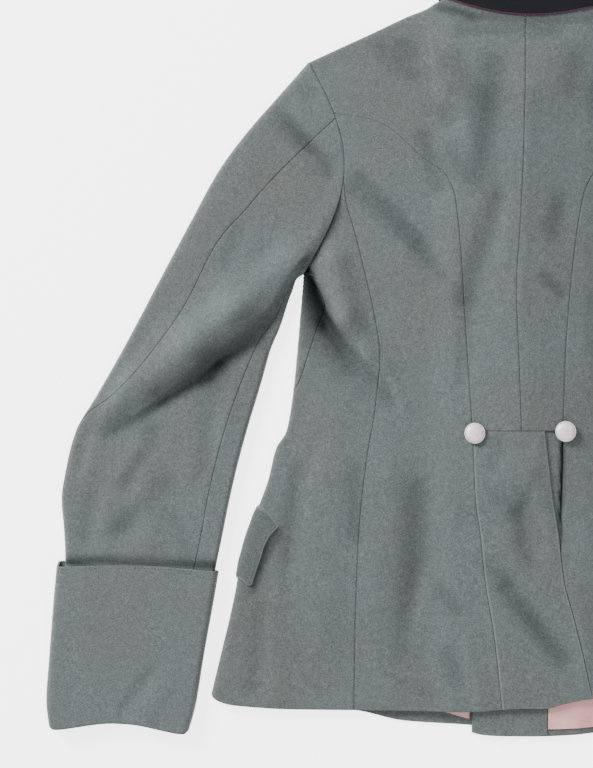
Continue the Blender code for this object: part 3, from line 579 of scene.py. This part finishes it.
def newPiece(made, name, finishes, attributes=None):
    mesh = bpy.data.meshes.new(name)
    made.to_mesh(mesh)
    made.free()
    mesh.shade_smooth()
    for label, values in (attributes or {}).items():
        layer = mesh.attributes.new(label, "FLOAT", "POINT")
        layer.data.foreach_set("value", np.ascontiguousarray(values, np.float32).ravel())
    for finish in finishes:
        mesh.materials.append(finish)
    piece = bpy.data.objects.new(name, mesh)
    bpy.context.scene.collection.objects.link(piece)
    return piece


def finishPiece(piece, node):
    if node:
        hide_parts(node)
    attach(piece, "root")


def addWall(piece, thick, lined):  # gives a sheet its thickness inwards, and rounds its rim
    solid = piece.modifiers.new("wall", "SOLIDIFY")
    solid.thickness, solid.offset = thick / 1000, -1
    solid.material_offset = 1 if lined else 0
    rim = piece.modifiers.new("rim", "BEVEL")
    rim.width, rim.segments = 0.00045, 2
    rim.limit_method, rim.angle_limit = "ANGLE", math.radians(55)


seamLooks = {
    "nearEdge": 7.5,  # a narrower sheet draws its first steps together
    "line": 0.95, "dark": 0.8,  # width and strength of the dark line in a seam
    "puckers": 0.25, "beadAt": 2.4, "beadWide": 1.4, "wornAt": 0.9, "wornWide": 0.7,
}
seamSteps = np.array([0, 0.3, 0.8, 1.5, 2.4])  # the mesh's first steps in from an edge


def plan(widest, spacing=tunic["spacing"]):  # how a sheet's rows or columns are shared out
    last = seamSteps[-1]
    inner = np.linspace(0, 1, max(2, round(float(widest) / spacing)) + 1)[1:-1]
    offsets = np.concatenate([seamSteps, 0 * inner + last, 2 * last - seamSteps[::-1]])
    return offsets, np.concatenate([0 * seamSteps, inner, 0 * seamSteps + 1])


def closeRows(top, bottom, start, end, step):  # rows that lie level and close between two heights
    spacing, last = tunic["spacing"], seamSteps[-1]
    middle = np.arange(start, end, step)[:, None] + 0 * top
    above = np.linspace(0, 1, max(2, round(float(np.max(start - top)) / spacing)) + 1)[:-1, None]
    below = np.linspace(0, 1, max(2, round(float(np.max(bottom - end)) / spacing)) + 1)[:, None]
    rows = [middle, end + (bottom - last - end) * below, bottom - seamSteps[::-1][1:, None]]
    if np.min(start - top) > 2 * last:
        rows = [top + seamSteps[:-1, None], top + last + (start - top - last) * above] + rows
    return np.concatenate(rows)


def stepsAcross(width, offsets, shares):
    near = np.clip(width / seamLooks["nearEdge"], 0.02, 1)
    return offsets * near + shares * (width - 2 * seamSteps[-1] * near)


def seamShape(distances, rolled):  # how far and how strongly cloth is turned down at its edges
    dip, line = 0, 0
    for distance, size in zip(distances, rolled):
        near = np.clip(1 - distance / tunic["seamRoll"], 0, 1)
        dip = np.maximum(dip, size * tunic["seamDip"] * (1 - np.sqrt(1 - near ** 2 * 0.995)))
        line = np.maximum(line, min(size, 1) * soften(1 - distance / seamLooks["line"]))
    return dip, line


def hump(distance, kind):
    return np.exp(-(((distance - seamLooks[kind + "At"]) / seamLooks[kind + "Wide"]) ** 2))


def sewSheet(node, tube, turns, rows, distances, rolled, looks):
    # A sheet on its tube. distances are millimetres from its four edges, rolled says which are seams.
    spots, shade = tube.point(turns, rows)
    out = tube.normal(turns, rows)
    dip, line = seamShape(distances, rolled)
    waves = np.sin(spots[..., 1] / 3.1) * np.sin(spots[..., 0] / 4.7 + spots[..., 1] / 9)
    bead = looks.get("bead", 0) * hump(np.min(distances, axis=0), "bead")
    depth = dip * (1 + seamLooks["puckers"] * waves) - bead + looks.get("depth", 0)
    spots = spots - out * np.asarray(depth)[..., None]
    spots[..., 2] = np.maximum(spots[..., 2], 0)
    # Painted highlight: a pale line just inside the listed edges, where light catches their roll.
    worn = 0 * line
    for distance, size in zip(distances, looks.get("worn", ())):
        worn = np.maximum(worn, size * hump(distance, "worn"))
    # A piece may also be given painted shade all over.
    shade = np.maximum(shade, looks.get("shade", 0))
    gridPiece(node, spots, out, looks, {"paintedShade": shade, "seam": line * seamLooks["dark"], "worn": worn})


def gridPiece(node, spots, out, looks, attributes=None):
    mirrored = looks.get("mirrored", False)
    rows, columns = spots.shape[:2]
    made = bmesh.new()
    bmesh.ops.create_grid(made, x_segments=columns - 1, y_segments=rows - 1, size=1)
    made.verts.ensure_lookup_table()
    for vert, spot in zip(made.verts, place(spots, mirrored).reshape(-1, 3)):
        vert.co = spot
    made.normal_update()
    facing = np.array([vert.normal for vert in made.verts])[: out[..., 0].size]
    outward = (out * ((-1 if mirrored else 1), -1, 1)).reshape(-1, 3)
    if (facing * outward).sum() < 0:
        bmesh.ops.reverse_faces(made, faces=made.faces)
    if looks.get("closed"):
        bmesh.ops.remove_doubles(made, verts=made.verts, dist=1e-6)
    area = sum(face.calc_area() for face in made.faces)
    piece = newPiece(made, f"cloth_{node}", looks["finishes"], attributes)
    finishPiece(piece, node)
    addWall(piece, looks["thick"], len(looks["finishes"]) > 1)


def layOut(tube, left, right, rows, columns):  # turns of a sheet's columns, and how far in they are
    start, end = tube.arcAt(left(rows), rows), tube.arcAt(right(rows), rows)
    across = stepsAcross(end - start, *columns)
    return tube.turnAtArc(start + across, rows), across, end - start - across


woolLook = {
    "finishes": [wool, pinkLining], "slot": "tunic_cloth", "thick": tunic["cloth"],
    "restsOn": ["front_left"],
}


def bodySheet(name, tube, left, right, top, bottom, rolled, **changes):
    # left and right give turns by row, top and bottom give rows by place.
    looks = {**woolLook, **changes}
    rows = np.linspace(*bodyCut["tall"], 60)
    topRow, bottomRow = (float(edge(np.array(400.0), 0.5)) for edge in (top, bottom))
    used = rows[(rows > topRow) & (rows < bottomRow)]
    columns = plan(np.max(tube.arcAt(right(used), used) - tube.arcAt(left(used), used)))
    ends = []
    for edge in (top, bottom):
        row = np.full(len(columns[0]), 300.0)
        for _ in range(10):  # each round brings the sloping edge nearer to its place
            turn = layOut(tube, left, right, row, columns)[0]
            row = edge(tube.point(turn, row)[0][..., 0], turn) + 0 * row
        ends.append(row)
    tall = ends[1] - ends[0]
    offsets, shares = plan(tall.max())
    down = stepsAcross(tall, offsets[:, None], shares[:, None])
    if looks.get("close"):
        down = closeRows(*ends, *looks["close"]) - ends[0]
    turns, fromLeft, fromRight = layOut(tube, left, right, ends[0] + down, columns)
    if looks.get("flip"):
        turns = 1 - turns
    distances = (fromLeft, fromRight, down, tall - down)
    sewSheet(name, tube, turns, ends[0] + down, distances, rolled, looks)


def seamTurn(*names, by=0):  # the turn of a line on the back, or of the sum of two
    return lambda row: bodyTube.turnAt(sum(smoothLine(bodyCut[name], row) for name in names) + by, row)


def armholeTurn(row):
    (topX, topY), (endX, endY) = armhole["top"], armhole["end"]

    def across(at):
        share = np.clip((at - topY) / (endY - topY), 0, 1)
        return topX + share * (endX - topX) + armhole["bow"] * np.sin(math.pi * share)

    slope = (across(row + 1) - across(row - 1)) / 2
    closed = armhole["closed"] * rise(row - endY, *armhole["closing"])
    return bodyTube.turnAt(across(row) - armhole["under"] * np.sqrt(1 + slope ** 2), row) - closed


def frontSeamTurn(row):  # the seam between side panel and front, which crosses the side fold
    arc, radius = smoothLine(bodyCut["frontSeam"], row), tunic["layers"] / 2
    bend = math.pi * radius / 2
    beyond = smoothLine(bodyCut["side"], row) + radius + np.abs(arc) - bend
    flat = np.sign(arc) * bodyTube.turnAt(beyond, row)
    return np.where(np.abs(arc) < bend, arc / bend * tunic["foldShare"], flat)


def otherSide(turn):
    return lambda row: 1 - turn(row)


def joinEdges(above, below, change):
    return lambda row: np.where(row < change, above(row), below(row))


def level(value):
    return lambda x, turn: value


def neckEdge(dip, flip=False):  # the top edge of back or front: shoulder, then neckline
    def edge(x, turn):
        x = 2 * tunic["centre"] - x if flip else x
        share = np.clip((x - neck["left"]) / neck["wide"], 0, 1)
        line = neck["top"] + neck["tilt"] * share + dip * np.sin(math.pi * share)
        return np.where(np.abs(x - tunic["centre"]) > neck["wide"] / 2, shoulderRow(x), line)

    return edge


def hemEdge(table, lower=None, flip=False):
    def edge(x, turn):
        x = 2 * tunic["centre"] - x if flip else x
        row = smoothLine(bodyCut[table], x)
        return row if lower is None else np.where((turn < 0) | (turn > 1), smoothLine(bodyCut[lower], x), row)

    return edge


def makeBack():
    waist, close = bodyCut["waist"], bodyCut["closeRows"]
    middle, hem = seamTurn("centreSeam"), hemEdge("backHem")
    backs = {
        "left": (joinEdges(armholeTurn, seamTurn("princessLeft"), close[0]), middle),
        "right": (middle, joinEdges(otherSide(armholeTurn), seamTurn("princessRight"), close[0])),
    }
    for side, bounds in backs.items():
        bodySheet(
            f"back_{side}", bodyTube, *bounds, neckEdge(neck["backDip"]), level(waist), (1, 1, 0.1, 1),
            close=close,
        )
    outer = joinEdges(armholeTurn, seamTurn("sideSeam"), bodyCut["sidePanelTop"] - 0.5)
    openTail = seamTurn("tailRight", "pleatOpen")
    sideBacks = {
        "left": (outer, seamTurn("princessLeft")),
        "right": (joinEdges(seamTurn("princessRight"), openTail, waist), otherSide(outer)),
    }
    for side, bounds in sideBacks.items():
        bodySheet(
            f"side_back_{side}", bodyTube, *bounds, level(close[0]), hem, (1, 1, 1, 0.5), close=close,
        )
    # The tail panel's side edges get a painted highlight.
    bodySheet(
        "tail_panel", bodyTube, seamTurn("princessLeft"), seamTurn("tailRight"), level(waist), hem,
        (1, 1, 0.8, 0.5), worn=(0.55, 0.55, 0, 0.2),
    )
    pleats = {"pleat_left": ("princessLeft", -16, 14), "pleat_right": ("tailRight", -8, 24)}
    for name, (seam, *reach) in pleats.items():
        bodySheet(
            name, bodyTube, *(seamTurn(seam, by=by) for by in reach), level(waist + 0.1), level(waist + 125),
            (0.3, 0.3, 0.3, 0.3), depth=tunic["cloth"] + 0.15, thick=1.6, finishes=[wool],
        )


def makeSides():
    left = joinEdges(armholeTurn, frontSeamTurn, armhole["end"][1])
    for side in ("left", "right"):
        bodySheet(
            f"side_panel_{side}", bodyTube, left, seamTurn("sideSeam"), level(bodyCut["sidePanelTop"]),
            hemEdge("backHem", "frontHem"), (1, 1, 1, 0.5), flip=side == "right",
        )


def makeFronts():
    closingAt = tunic["centre"] + underLayers["overlap"]
    outline = joinEdges(lambda row: -armholeTurn(row), frontSeamTurn, armhole["end"][1])
    closing = lambda row: -bodyTube.turnAt(closingAt, row)
    onFloor = {"restsOn": ["floor"], "finishes": [wool]}
    bodySheet(
        "front_left", bodyTube, closing, outline, neckEdge(neck["frontDip"]), hemEdge("frontHem"),
        (0.5, 1, 0.1, 0.5), **onFloor,
    )
    bodySheet(
        "front_right", innerTube, closing, outline, neckEdge(neck["frontDip"], True),
        hemEdge("innerHem", flip=True), (0.5, 1, 0.1, 0.5), flip=True, **onFloor,
    )
    depth = tunic["cloth"] + tunic["liningGap"]
    strips = {
        "lining_left": (bodyTube, 392, 470, hemEdge("liningHem"), pinkLining, "lining", tunic["lining"]),
        "lining_right": (innerTube, 548.4, 700, hemEdge("liningHem"), pinkLining, "lining", tunic["lining"]),
        "facing_right": (
            innerTube, 473, 547.6, lambda x, turn: smoothLine(bodyCut["innerHem"], x) - 0.8, wool,
            "tunic_cloth", tunic["lining"],
        ),
    }
    for name, (tube, start, end, edge, finish, slot, thick) in strips.items():
        bounds = [lambda row, x=x: -tube.turnAt(x, row) for x in (end, start)]
        bodySheet(
            name, tube, *bounds, level(676), edge, (0.3, 0.3, 0.3, 0.3), depth=depth, finishes=[finish],
            slot=slot, thick=thick, restsOn=["front_right" if name != "lining_left" else "front_left"],
        )


makeBack()
makeSides()
makeFronts()
print("the body is sewn")

# Sleeve sections: outer edge, inner edge and how far the row bows towards the body.
sleeveCut = {
    "sections": [
        (309, 61, 304, 274, 38), (278, 96, 296.5, 279.5, 30), (250, 128, 293, 289.5, 22),
        (220, 168, 288, 303, 15), (189, 224, 281, 325, 9), (155, 288, 270, 352, 4),
        (121, 352, 262, 381, 0), (97, 394, 255, 404, 0), (75, 432, 245, 438, 0), (66.5, 464, 237, 468, 0),
        (61, 498, 229, 503, 0), (63.5, 530, 222, 538, 0), (65, 562, 215.5, 570, 0),
        (62, 640, 203, 645, 0), (56, 714, 184, 720, 0),
    ],
    # (section, turn round the sleeve) of its two seams.
    "hindSeam": [
        (0, 0.316), (2, 0.322), (3, 0.318), (4, 0.274), (5, 0.292), (6, 0.25), (7, 0.18), (8, 0.02),
        (10, -0.08), (14, -0.1),
    ],
    "foreSeam": [(0, 0.86), (4, 0.84), (5, 0.804), (7, 0.793), (10, 0.794), (14, 0.775)],
    "last": 13.98, "tall": 660,
    "raised": 2.2, "raisedTo": (290, 60),  # the sleeve's outer part lies higher than its join to the body
    "insideCuff": 2.6, "cuffFrom": (536, 18),  # how far the cuff's lower side lifts it, and where
}
cuffCut = {
    "sections": [
        (56.5, 566, 219, 571, 0), (54, 592, 215.5, 592, 0), (49, 656, 204, 656, 0), (46, 700, 196, 705, 0),
        (48.5, 728, 189, 733, 0),
    ],
    "high": 13.2, "tall": 165, "columns": 97,
    # Rises of the lip's and the hem's middle, of the lip at the back, and of the hem's two corners.
    "lipRise": -3.5, "hemRise": -9.2, "arch": 1.6, "backLipRise": -5.0, "backRows": 6, "backShare": 1.4,
    "cornerRise": 3.2, "cornerNarrow": 45, "cornerRows": 12,
    "turnIn": 4.0,  # the hem goes this far back inside
    "stitchIn": 3.2, "stitchStep": 3.3, "stitchLow": 3.0,  # no stitch lies lower, where the cuff rests
    "stitch": (0.00115, 0.00028, 0.00024),
}


def sectionEnds(table):
    def ends(row):
        columns = (smoothLine(list(zip(range(len(table)), column)), row) for column in zip(*table))
        leftX, leftY, rightX, rightY, bow = columns
        bows = np.stack([bow, 0 * bow])
        return np.stack([leftX, leftY]), np.stack([rightX, rightY]), (bows, bows)

    return ends


def insideCuff(y):
    return rise(y, *sleeveCut["cuffFrom"])


def sleeveHigh(x, y):
    start, length = sleeveCut["raisedTo"]
    return tunic["layers"] + sleeveCut["raised"] * soften((start - x) / length) + 0.2 * insideCuff(y)


sleeveTube = ClothTube(
    sectionEnds(sleeveCut["sections"]), lambda x, y: sleeveCut["insideCuff"] * insideCuff(y), sleeveHigh,
    "sleeve", 0.5,
)
cuffTube = ClothTube(
    sectionEnds(cuffCut["sections"]), lambda x, y: 0 * x, lambda x, y: cuffCut["high"] + 0 * x, "cuff", 0.5,
)


def rowsByLength(tube, first, last, offsets, shares):  # sections at even distances along a tube
    rows = np.linspace(first, last, 500)
    left, right, _ = tube.ends(rows)
    middle = (left + right) / 2
    run = np.concatenate([[0], np.cumsum(np.hypot(*np.diff(middle, axis=1)))])
    down = stepsAcross(run[-1], offsets, shares)
    return np.interp(down, run, rows)[:, None], down[:, None], run[-1]


def makeSleeve(side):
    rows, down, tall = rowsByLength(sleeveTube, 0, sleeveCut["last"], *plan(sleeveCut["tall"]))
    hind = lambda row: smoothLine(sleeveCut["hindSeam"], row)
    fore = lambda row: smoothLine(sleeveCut["foreSeam"], row)
    bounds = {"under": (hind, fore), "upper": (lambda row: fore(row) - 2, hind)}
    for part, (left, right) in bounds.items():
        widest = np.max(sleeveTube.arcAt(right(rows), rows) - sleeveTube.arcAt(left(rows), rows))
        columns = plan(widest)
        rowGrid = rows + 0 * columns[0]
        turns, fromLeft, fromRight = layOut(sleeveTube, left, right, rowGrid, columns)
        sewSheet(
            f"sleeve_{part}_{side}", sleeveTube, turns, rowGrid,
            (fromLeft, fromRight, down + 0 * turns, tall - down + 0 * turns), (1, 1, 1.4, 0.4),
            {**woolLook, "mirrored": side == "right", "restsOn": ["floor"]},
        )


def makeCuff(side):
    last = len(cuffCut["sections"]) - 1
    rows, down, tall = rowsByLength(cuffTube, 0, last, *plan(cuffCut["tall"]))
    around = np.linspace(0, 1, cuffCut["columns"])[None, :]
    share = tunic["foldShare"]
    start, end = (cuffTube.arcAt(turn + 0 * rows, rows) for turn in (-share, 2 - share))
    rowGrid = rows + 0 * around
    turns = cuffTube.turnAtArc(start + around * (end - start) * 0.99999, rowGrid)  # all but a full round
    spots = cuffTube.point(turns, rowGrid)[0]
    out = cuffTube.normal(turns, rowGrid)
    dip, _ = seamShape((down + 0 * turns,), (0.4,))
    spots -= out * dip[..., None]
    left, right = spots[..., 0].min(1, keepdims=True), spots[..., 0].max(1, keepdims=True)
    share = np.clip((spots[..., 0] - left) / (right - left), 0, 1)
    low = down / tall
    arch = np.sin(math.pi * share) ** cuffCut["arch"]
    spots[..., 1] += arch * (cuffCut["lipRise"] * (1 - low) + cuffCut["hemRise"] * low)
    narrow = cuffCut["cornerNarrow"]
    corner = np.exp(-share * narrow) + np.exp((share - 1) * narrow)
    spots[..., 1] -= cuffCut["cornerRise"] * corner * low ** cuffCut["cornerRows"]
    under = soften(1 - spots[..., 2] / cuffCut["high"] * cuffCut["backShare"])
    spots[..., 1] += cuffCut["backLipRise"] * under * (1 - share) * (1 - low) ** cuffCut["backRows"]
    along = spots[-1] - spots[-4]
    along[:, 2] = 0
    along /= np.linalg.norm(along, axis=1, keepdims=True)
    radius = tunic["cloth"] + 0.1
    turned = [
        spots[-1] - out[-1] * radius * (1 - np.cos(angle)) + along * radius * np.sin(angle)
        for angle in np.linspace(0, math.pi, 7)[1:]
    ]
    turned += [turned[-1] - along * cuffCut["turnIn"] * by for by in (0.5, 1.0)]
    spots = np.concatenate([spots, turned])
    spots[:, -1] = spots[:, 0]
    stitching = makeStitches(side, spots, out)
    gridPiece(
        f"cuff_{side}", spots, out,
        {**woolLook, "finishes": [wool], "mirrored": side == "right", "restsOn": ["floor"], "closed": True,
         "with": [stitching]},
    )


def makeStitches(side, spots, out):  # a row of short stitches inside the cuff's lip
    depth = np.abs(spots[:40, :, 1] - spots[:1, :, 1]).mean(1)
    row = int(np.argmin(np.abs(depth - cuffCut["stitchIn"])))
    line, up = spots[row], out[row]
    run = np.concatenate([[0], np.cumsum(np.linalg.norm(np.diff(line, axis=0), axis=1))])

    def between(values, at):
        return np.array([np.interp(at, run, values[:, k]) for k in range(3)])

    made = bmesh.new()
    for at in np.arange(0, run[-1] - 1, cuffCut["stitchStep"]):
        middle, facing = between(line, at), between(up, at)
        if middle[2] < cuffCut["stitchLow"]:
            continue
        ahead = between(line, at + 1) - middle
        here = Vector(place(middle + facing * 0.12, side == "right"))
        way = Vector((ahead[0] * (-1 if side == "right" else 1), -ahead[1], ahead[2])).normalized()
        turn = way.to_track_quat("X", "Z").to_matrix().to_4x4()
        shape = Matrix.Translation(here) @ turn @ Matrix.Diagonal((*cuffCut["stitch"], 1))
        bmesh.ops.create_icosphere(made, subdivisions=1, radius=1, matrix=shape)
    bmesh.ops.recalc_face_normals(made, faces=made.faces)
    piece = newPiece(made, f"cuff_stitches_{side}", [thread])
    finishPiece(piece, None)
    return piece


for side in ("left", "right"):
    makeSleeve(side)
    makeCuff(side)
print("sleeves and cuffs are sewn")

flapCut = {
    # (down, across)
    "rear": [(526, 279.5), (535, 270.5), (547, 264.3), (558.6, 260.7), (569, 257), (584, 252.2)],
    "top": [(0, 526), (0.1, 512.6), (0.2, 505), (0.5, 498), (1, 496)],  # (share of its length, down)
    "bottom": [(0, 584), (0.02, 585.4), (0.08, 579), (0.2, 574), (0.5, 570), (1, 566)],
    "side": 250.0, "reach": 118.0,  # the body's side here, and how far round it the flap's front end is
    "long": 160.0, "tall": 66.0, "shown": 150.0,
    "off": 0.35, "tuck": 5.0,  # it lies this far off the panel, and is sewn in over this much
}


def makeFlap(side):
    long, height, shown = flapCut["long"], flapCut["tall"], flapCut["shown"]
    offsets, shares = plan(long)
    u = stepsAcross(long, offsets, shares)[None, :] / long
    offsets, shares = plan(height)
    v = stepsAcross(height, offsets, shares)[:, None] / height
    rows = smoothLine(flapCut["top"], u) * (1 - v) + smoothLine(flapCut["bottom"], u) * v
    rear = flapCut["top"][0][1] * (1 - v) + flapCut["bottom"][0][1] * v
    rearTurn = bodyTube.turnAt(smoothLine(flapCut["rear"], rear), rear)
    frontTurn = -bodyTube.turnAt(flapCut["side"] + flapCut["reach"], rows)
    start, end = bodyTube.arcAt(frontTurn, rows), bodyTube.arcAt(rearTurn + 0 * rows, rows)
    turns = bodyTube.turnAtArc(end + u * (start - end), rows)[:, ::-1]
    rows = rows[:, ::-1]
    tall = v * height + 0 * turns
    across = (1 - u[:, ::-1]) * shown + 0 * turns
    if side == "right":
        turns = 1 - turns
    # The flap gets painted shade all over and a painted highlight along its edges.
    sewSheet(
        f"pocket_flap_{side}", bodyTube, turns, rows,
        (shown - across, across, tall, height - tall), (0.7, 0.7, 1.3, 0.7),
        {**woolLook, "finishes": [wool], "bead": 0.5, "worn": (0.8, 0.8, 0.7, 0.8), "shade": 0.2,
         "depth": -flapCut["off"] - tunic["cloth"] * soften(tall / flapCut["tuck"]),
         "restsOn": [f"side_panel_{side}", f"front_{side}"]},
    )


for side in ("left", "right"):
    makeFlap(side)
print("pocket flaps are sewn")

collarCut = {
    # Left end, right end, and dips at back and front, of the top edge and of the lower edge.
    "fall": ((447, -14, 603, 1.5, -14, 42), (438, -4, 605, 3.5, 15, 84)),
    "stand": ((451, -11.5, 599, 1, -8, 44), (447, -1.9, 595, 6.1, 6, 68)),
    "fallLow": -2.6, "fallHigh": 2.5, "open": -0.496, "pipe": 0.7, "pipeSteps": 240,
    "long": 380, "fallTall": 26, "standTall": 12, "spacing": (3.2, 2.6), "rollSteps": 9,
}


def ringEnds(first, last):
    def ends(row):
        leftX, leftY, rightX, rightY, back, front = (a + (b - a) * row for a, b in zip(first, last))
        bows = (np.stack([0 * back, back]), np.stack([0 * front, front]))
        return np.stack([leftX, leftY]), np.stack([rightX, rightY]), bows

    return ends


fallTube = ClothTube(
    ringEnds(*collarCut["fall"]), lambda x, y: frontLow(x, y) + collarCut["fallLow"],
    lambda x, y: backHigh(x, y) + collarCut["fallHigh"], "collar", 0.5,
)
standTube = ClothTube(ringEnds(*collarCut["stand"]), frontLow, backHigh, "collar", 0.5)


def makeCollar():
    columns = plan(collarCut["long"], collarCut["spacing"][0])
    looks = {
        **woolLook, "finishes": [collarWool], "slot": "collar_cloth", "restsOn": ["back_left", "back_right"],
    }
    parts = {}
    opens = collarCut["open"]
    left, right = (lambda row, to=to: to + 0 * row for to in (opens, 1 - opens))
    for name, tube in (("fall", fallTube), ("stand", standTube)):
        tall = float(collarCut[name + "Tall"])
        offsets, shares = plan(tall, collarCut["spacing"][1])
        rows = stepsAcross(tall, offsets, shares)[:, None] / tall + 0 * columns[0]
        turns = layOut(tube, left, right, rows, columns)[0]
        parts[name] = (tube.point(turns, rows)[0], tube.normal(turns, rows), turns)
    spots, out, turns = parts["fall"]
    top = 0 * turns[0]
    standTop = standTube.point(turns[0], top)[0] - standTube.normal(turns[0], top) * tunic["cloth"]
    up = spots[0] - spots[6]  # from a row inside the sheet to its top edge
    up /= np.linalg.norm(up, axis=1, keepdims=True)
    middle, half = (spots[0] + standTop) / 2, (spots[0] - standTop) / 2
    reach = np.linalg.norm(half, axis=1, keepdims=True)
    roll = [
        middle + half * np.cos(angle) + up * reach * np.sin(angle)
        for angle in np.linspace(math.pi, 0, collarCut["rollSteps"])[:-1]
    ]
    fall = np.concatenate([roll, spots])
    rollOut = np.repeat(up[None], len(roll), axis=0)
    gridPiece("collar_fall", fall, np.concatenate([rollOut, out]), looks)
    stand, standOut, _ = parts["stand"]
    gridPiece("collar_stand", stand, standOut, looks)


def makePiping():
    turns = np.linspace(collarCut["open"], 1 - collarCut["open"], collarCut["pipeSteps"])
    ones = np.ones_like(turns)
    spots = fallTube.point(turns, ones)[0] - fallTube.normal(turns, ones) * tunic["cloth"] / 2
    past = fallTube.point(turns, 1.02 * ones)[0] - fallTube.point(turns, ones)[0]  # away from the fall
    past[:, 2] = 0
    spots += past / np.linalg.norm(past, axis=1, keepdims=True) * collarCut["pipe"]
    line = bpy.data.curves.new("wine_piping", "CURVE")
    line.dimensions, line.use_fill_caps = "3D", True
    line.bevel_depth, line.bevel_resolution = collarCut["pipe"] / 1000, 3
    spline = line.splines.new("POLY")
    spline.points.add(len(spots) - 1)
    for point, spot in zip(spline.points, place(spots)):
        point.co = (*spot, 1)
    line.materials.append(pipingWool)
    piece = bpy.data.objects.new("wine_piping", line)
    bpy.context.scene.collection.objects.link(piece)
    finishPiece(piece, "collar_piping")


makeCollar()
makePiping()
print("the collar is sewn")

buttonShape = {
    "steps": 56, "count": 6, "pebble": 0.00016, "pebbleSize": 0.0011,
    "pebblesFrom": 0.55,  # height share above which the face is pebbled
    "groove": (0.8, 0.93), "edge": 0.97,  # radius shares of the dark groove and of the dark edge
    # Radius share and height share from the crown down the outer side to the back plate.
    "outline": [
        (0, 1), (0.12, 0.995), (0.24, 0.98), (0.36, 0.95), (0.48, 0.905), (0.59, 0.845), (0.69, 0.77),
        (0.77, 0.69), (0.835, 0.605), (0.865, 0.565), (0.885, 0.56), (0.905, 0.585), (0.935, 0.595),
        (0.965, 0.56), (0.99, 0.48), (1, 0.38), (0.99, 0.28), (0.96, 0.19), (0.9, 0.1), (0.8, 0.04),
        (0.6, 0), (0, 0),
    ],
}


def makeButton(node, downwards=False):
    low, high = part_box(node)
    radius, tall = (high.x - low.x) / 2, high.z - low.z
    made = bmesh.new()
    verts = [made.verts.new((r * radius, 0, h * tall)) for r, h in buttonShape["outline"]]
    for pair in zip(verts, verts[1:]):
        made.edges.new(pair)
    bmesh.ops.spin(
        made, geom=made.verts[:] + made.edges[:], axis=(0, 0, 1), cent=(0, 0, 0), angle=2 * math.pi,
        steps=buttonShape["steps"], use_merge=True,
    )
    bmesh.ops.remove_doubles(made, verts=made.verts, dist=1e-6)
    bmesh.ops.recalc_face_normals(made, faces=made.faces)
    places = np.array([vert.co for vert in made.verts])
    away = np.hypot(places[:, 0], places[:, 1]) / radius
    size = buttonShape["pebbleSize"]
    bumps = np.sin(places[:, 0] / size * 2.1 + 2 * np.sin(places[:, 1] / size)) * np.sin(
        places[:, 1] / size * 2.3 + 1.7 * np.sin(places[:, 0] / size * 1.3)
    )
    for vert, bump, far in zip(made.verts, bumps, away):
        if vert.co.z > buttonShape["pebblesFrom"] * tall:
            vert.co.z += buttonShape["pebble"] * bump * (0.4 if far > 0.88 else 1)  # less on the rim
    first, last = buttonShape["groove"]
    rim = rise(away, first, 0.07) * soften((last - away) / 0.03) + rise(away, buttonShape["edge"], 0.03)
    if downwards:
        bmesh.ops.rotate(made, verts=made.verts, cent=(0, 0, 0), matrix=Matrix.Rotation(math.pi, 3, "X"))
    middle = (low + high) / 2
    bmesh.ops.translate(made, verts=made.verts, vec=(middle.x, middle.y, high.z if downwards else low.z))
    piece = newPiece(made, f"pebbled_{node}", [paleSilver], {"seam": np.clip(rim, 0, 1) * 0.7})
    finishPiece(piece, node)


for side in ("left", "right"):
    makeButton(f"back_button_{side}")
for number in range(buttonShape["count"]):
    makeButton(f"front_button_{number + 1}", downwards=True)
print("the buttons are on")

studio = {
    # The floor glows, so that it is as pale as the photo's ground while the cloth keeps its tone.
    "floor": (0.93, 0.93, 0.93), "floorGlow": 3.1, "floorSize": 3.0, "floorDrop": 0.0004, "world": 0.7,
    "key": {"energy": 300, "size": 1.3, "at": (-2.5, 2.0, 1.6)},
    "fill": {"energy": 30, "size": 1.6, "at": (0.6, -1.5, 1.7)},
    "lens": 85, "sensor": 36, "pictureTall": 0.768, "view": (296.5, 384.0),
}


def makeFloor():
    made = bmesh.new()
    bmesh.ops.create_grid(made, x_segments=4, y_segments=4, size=studio["floorSize"])
    bmesh.ops.translate(made, verts=made.verts, vec=(0, 0, -studio["floorDrop"]))
    paper, _, shader = newFinish("palePaper", Roughness=0.9, Specular_IOR_Level=0.1)
    shader.inputs["Base Color"].default_value = (*studio["floor"], 1)
    shader.inputs["Emission Color"].default_value = (1, 1, 1, 1)
    shader.inputs["Emission Strength"].default_value = studio["floorGlow"]
    newPiece(made, "floor", [paper])


def makeLights():
    world = bpy.data.worlds.new("studio")
    world.use_nodes = True
    world.node_tree.nodes["Background"].inputs["Color"].default_value = (1, 1, 1, 1)
    world.node_tree.nodes["Background"].inputs["Strength"].default_value = studio["world"]
    bpy.context.scene.world = world
    for name in ("key", "fill"):
        light = bpy.data.lights.new(name, "AREA")
        light.energy, light.size = studio[name]["energy"], studio[name]["size"]
        lamp = bpy.data.objects.new(name, light)
        lamp.location = studio[name]["at"]
        lamp.rotation_euler = (-lamp.location).to_track_quat("-Z", "Y").to_euler()
        bpy.context.scene.collection.objects.link(lamp)


def makeCamera():
    camera = bpy.data.objects.new("camera", bpy.data.cameras.new("camera"))
    camera.data.lens, camera.data.sensor_width = studio["lens"], studio["sensor"]
    x = (studio["view"][0] - tunic["centre"]) / 1000
    y = downToY - studio["view"][1] / 1000
    away = studio["pictureTall"] * studio["lens"] / studio["sensor"]
    camera.location = (x, y, away + tunic["layers"] / 1000)
    bpy.context.scene.collection.objects.link(camera)
    bpy.context.scene.camera = camera


makeFloor()
makeLights()
makeCamera()
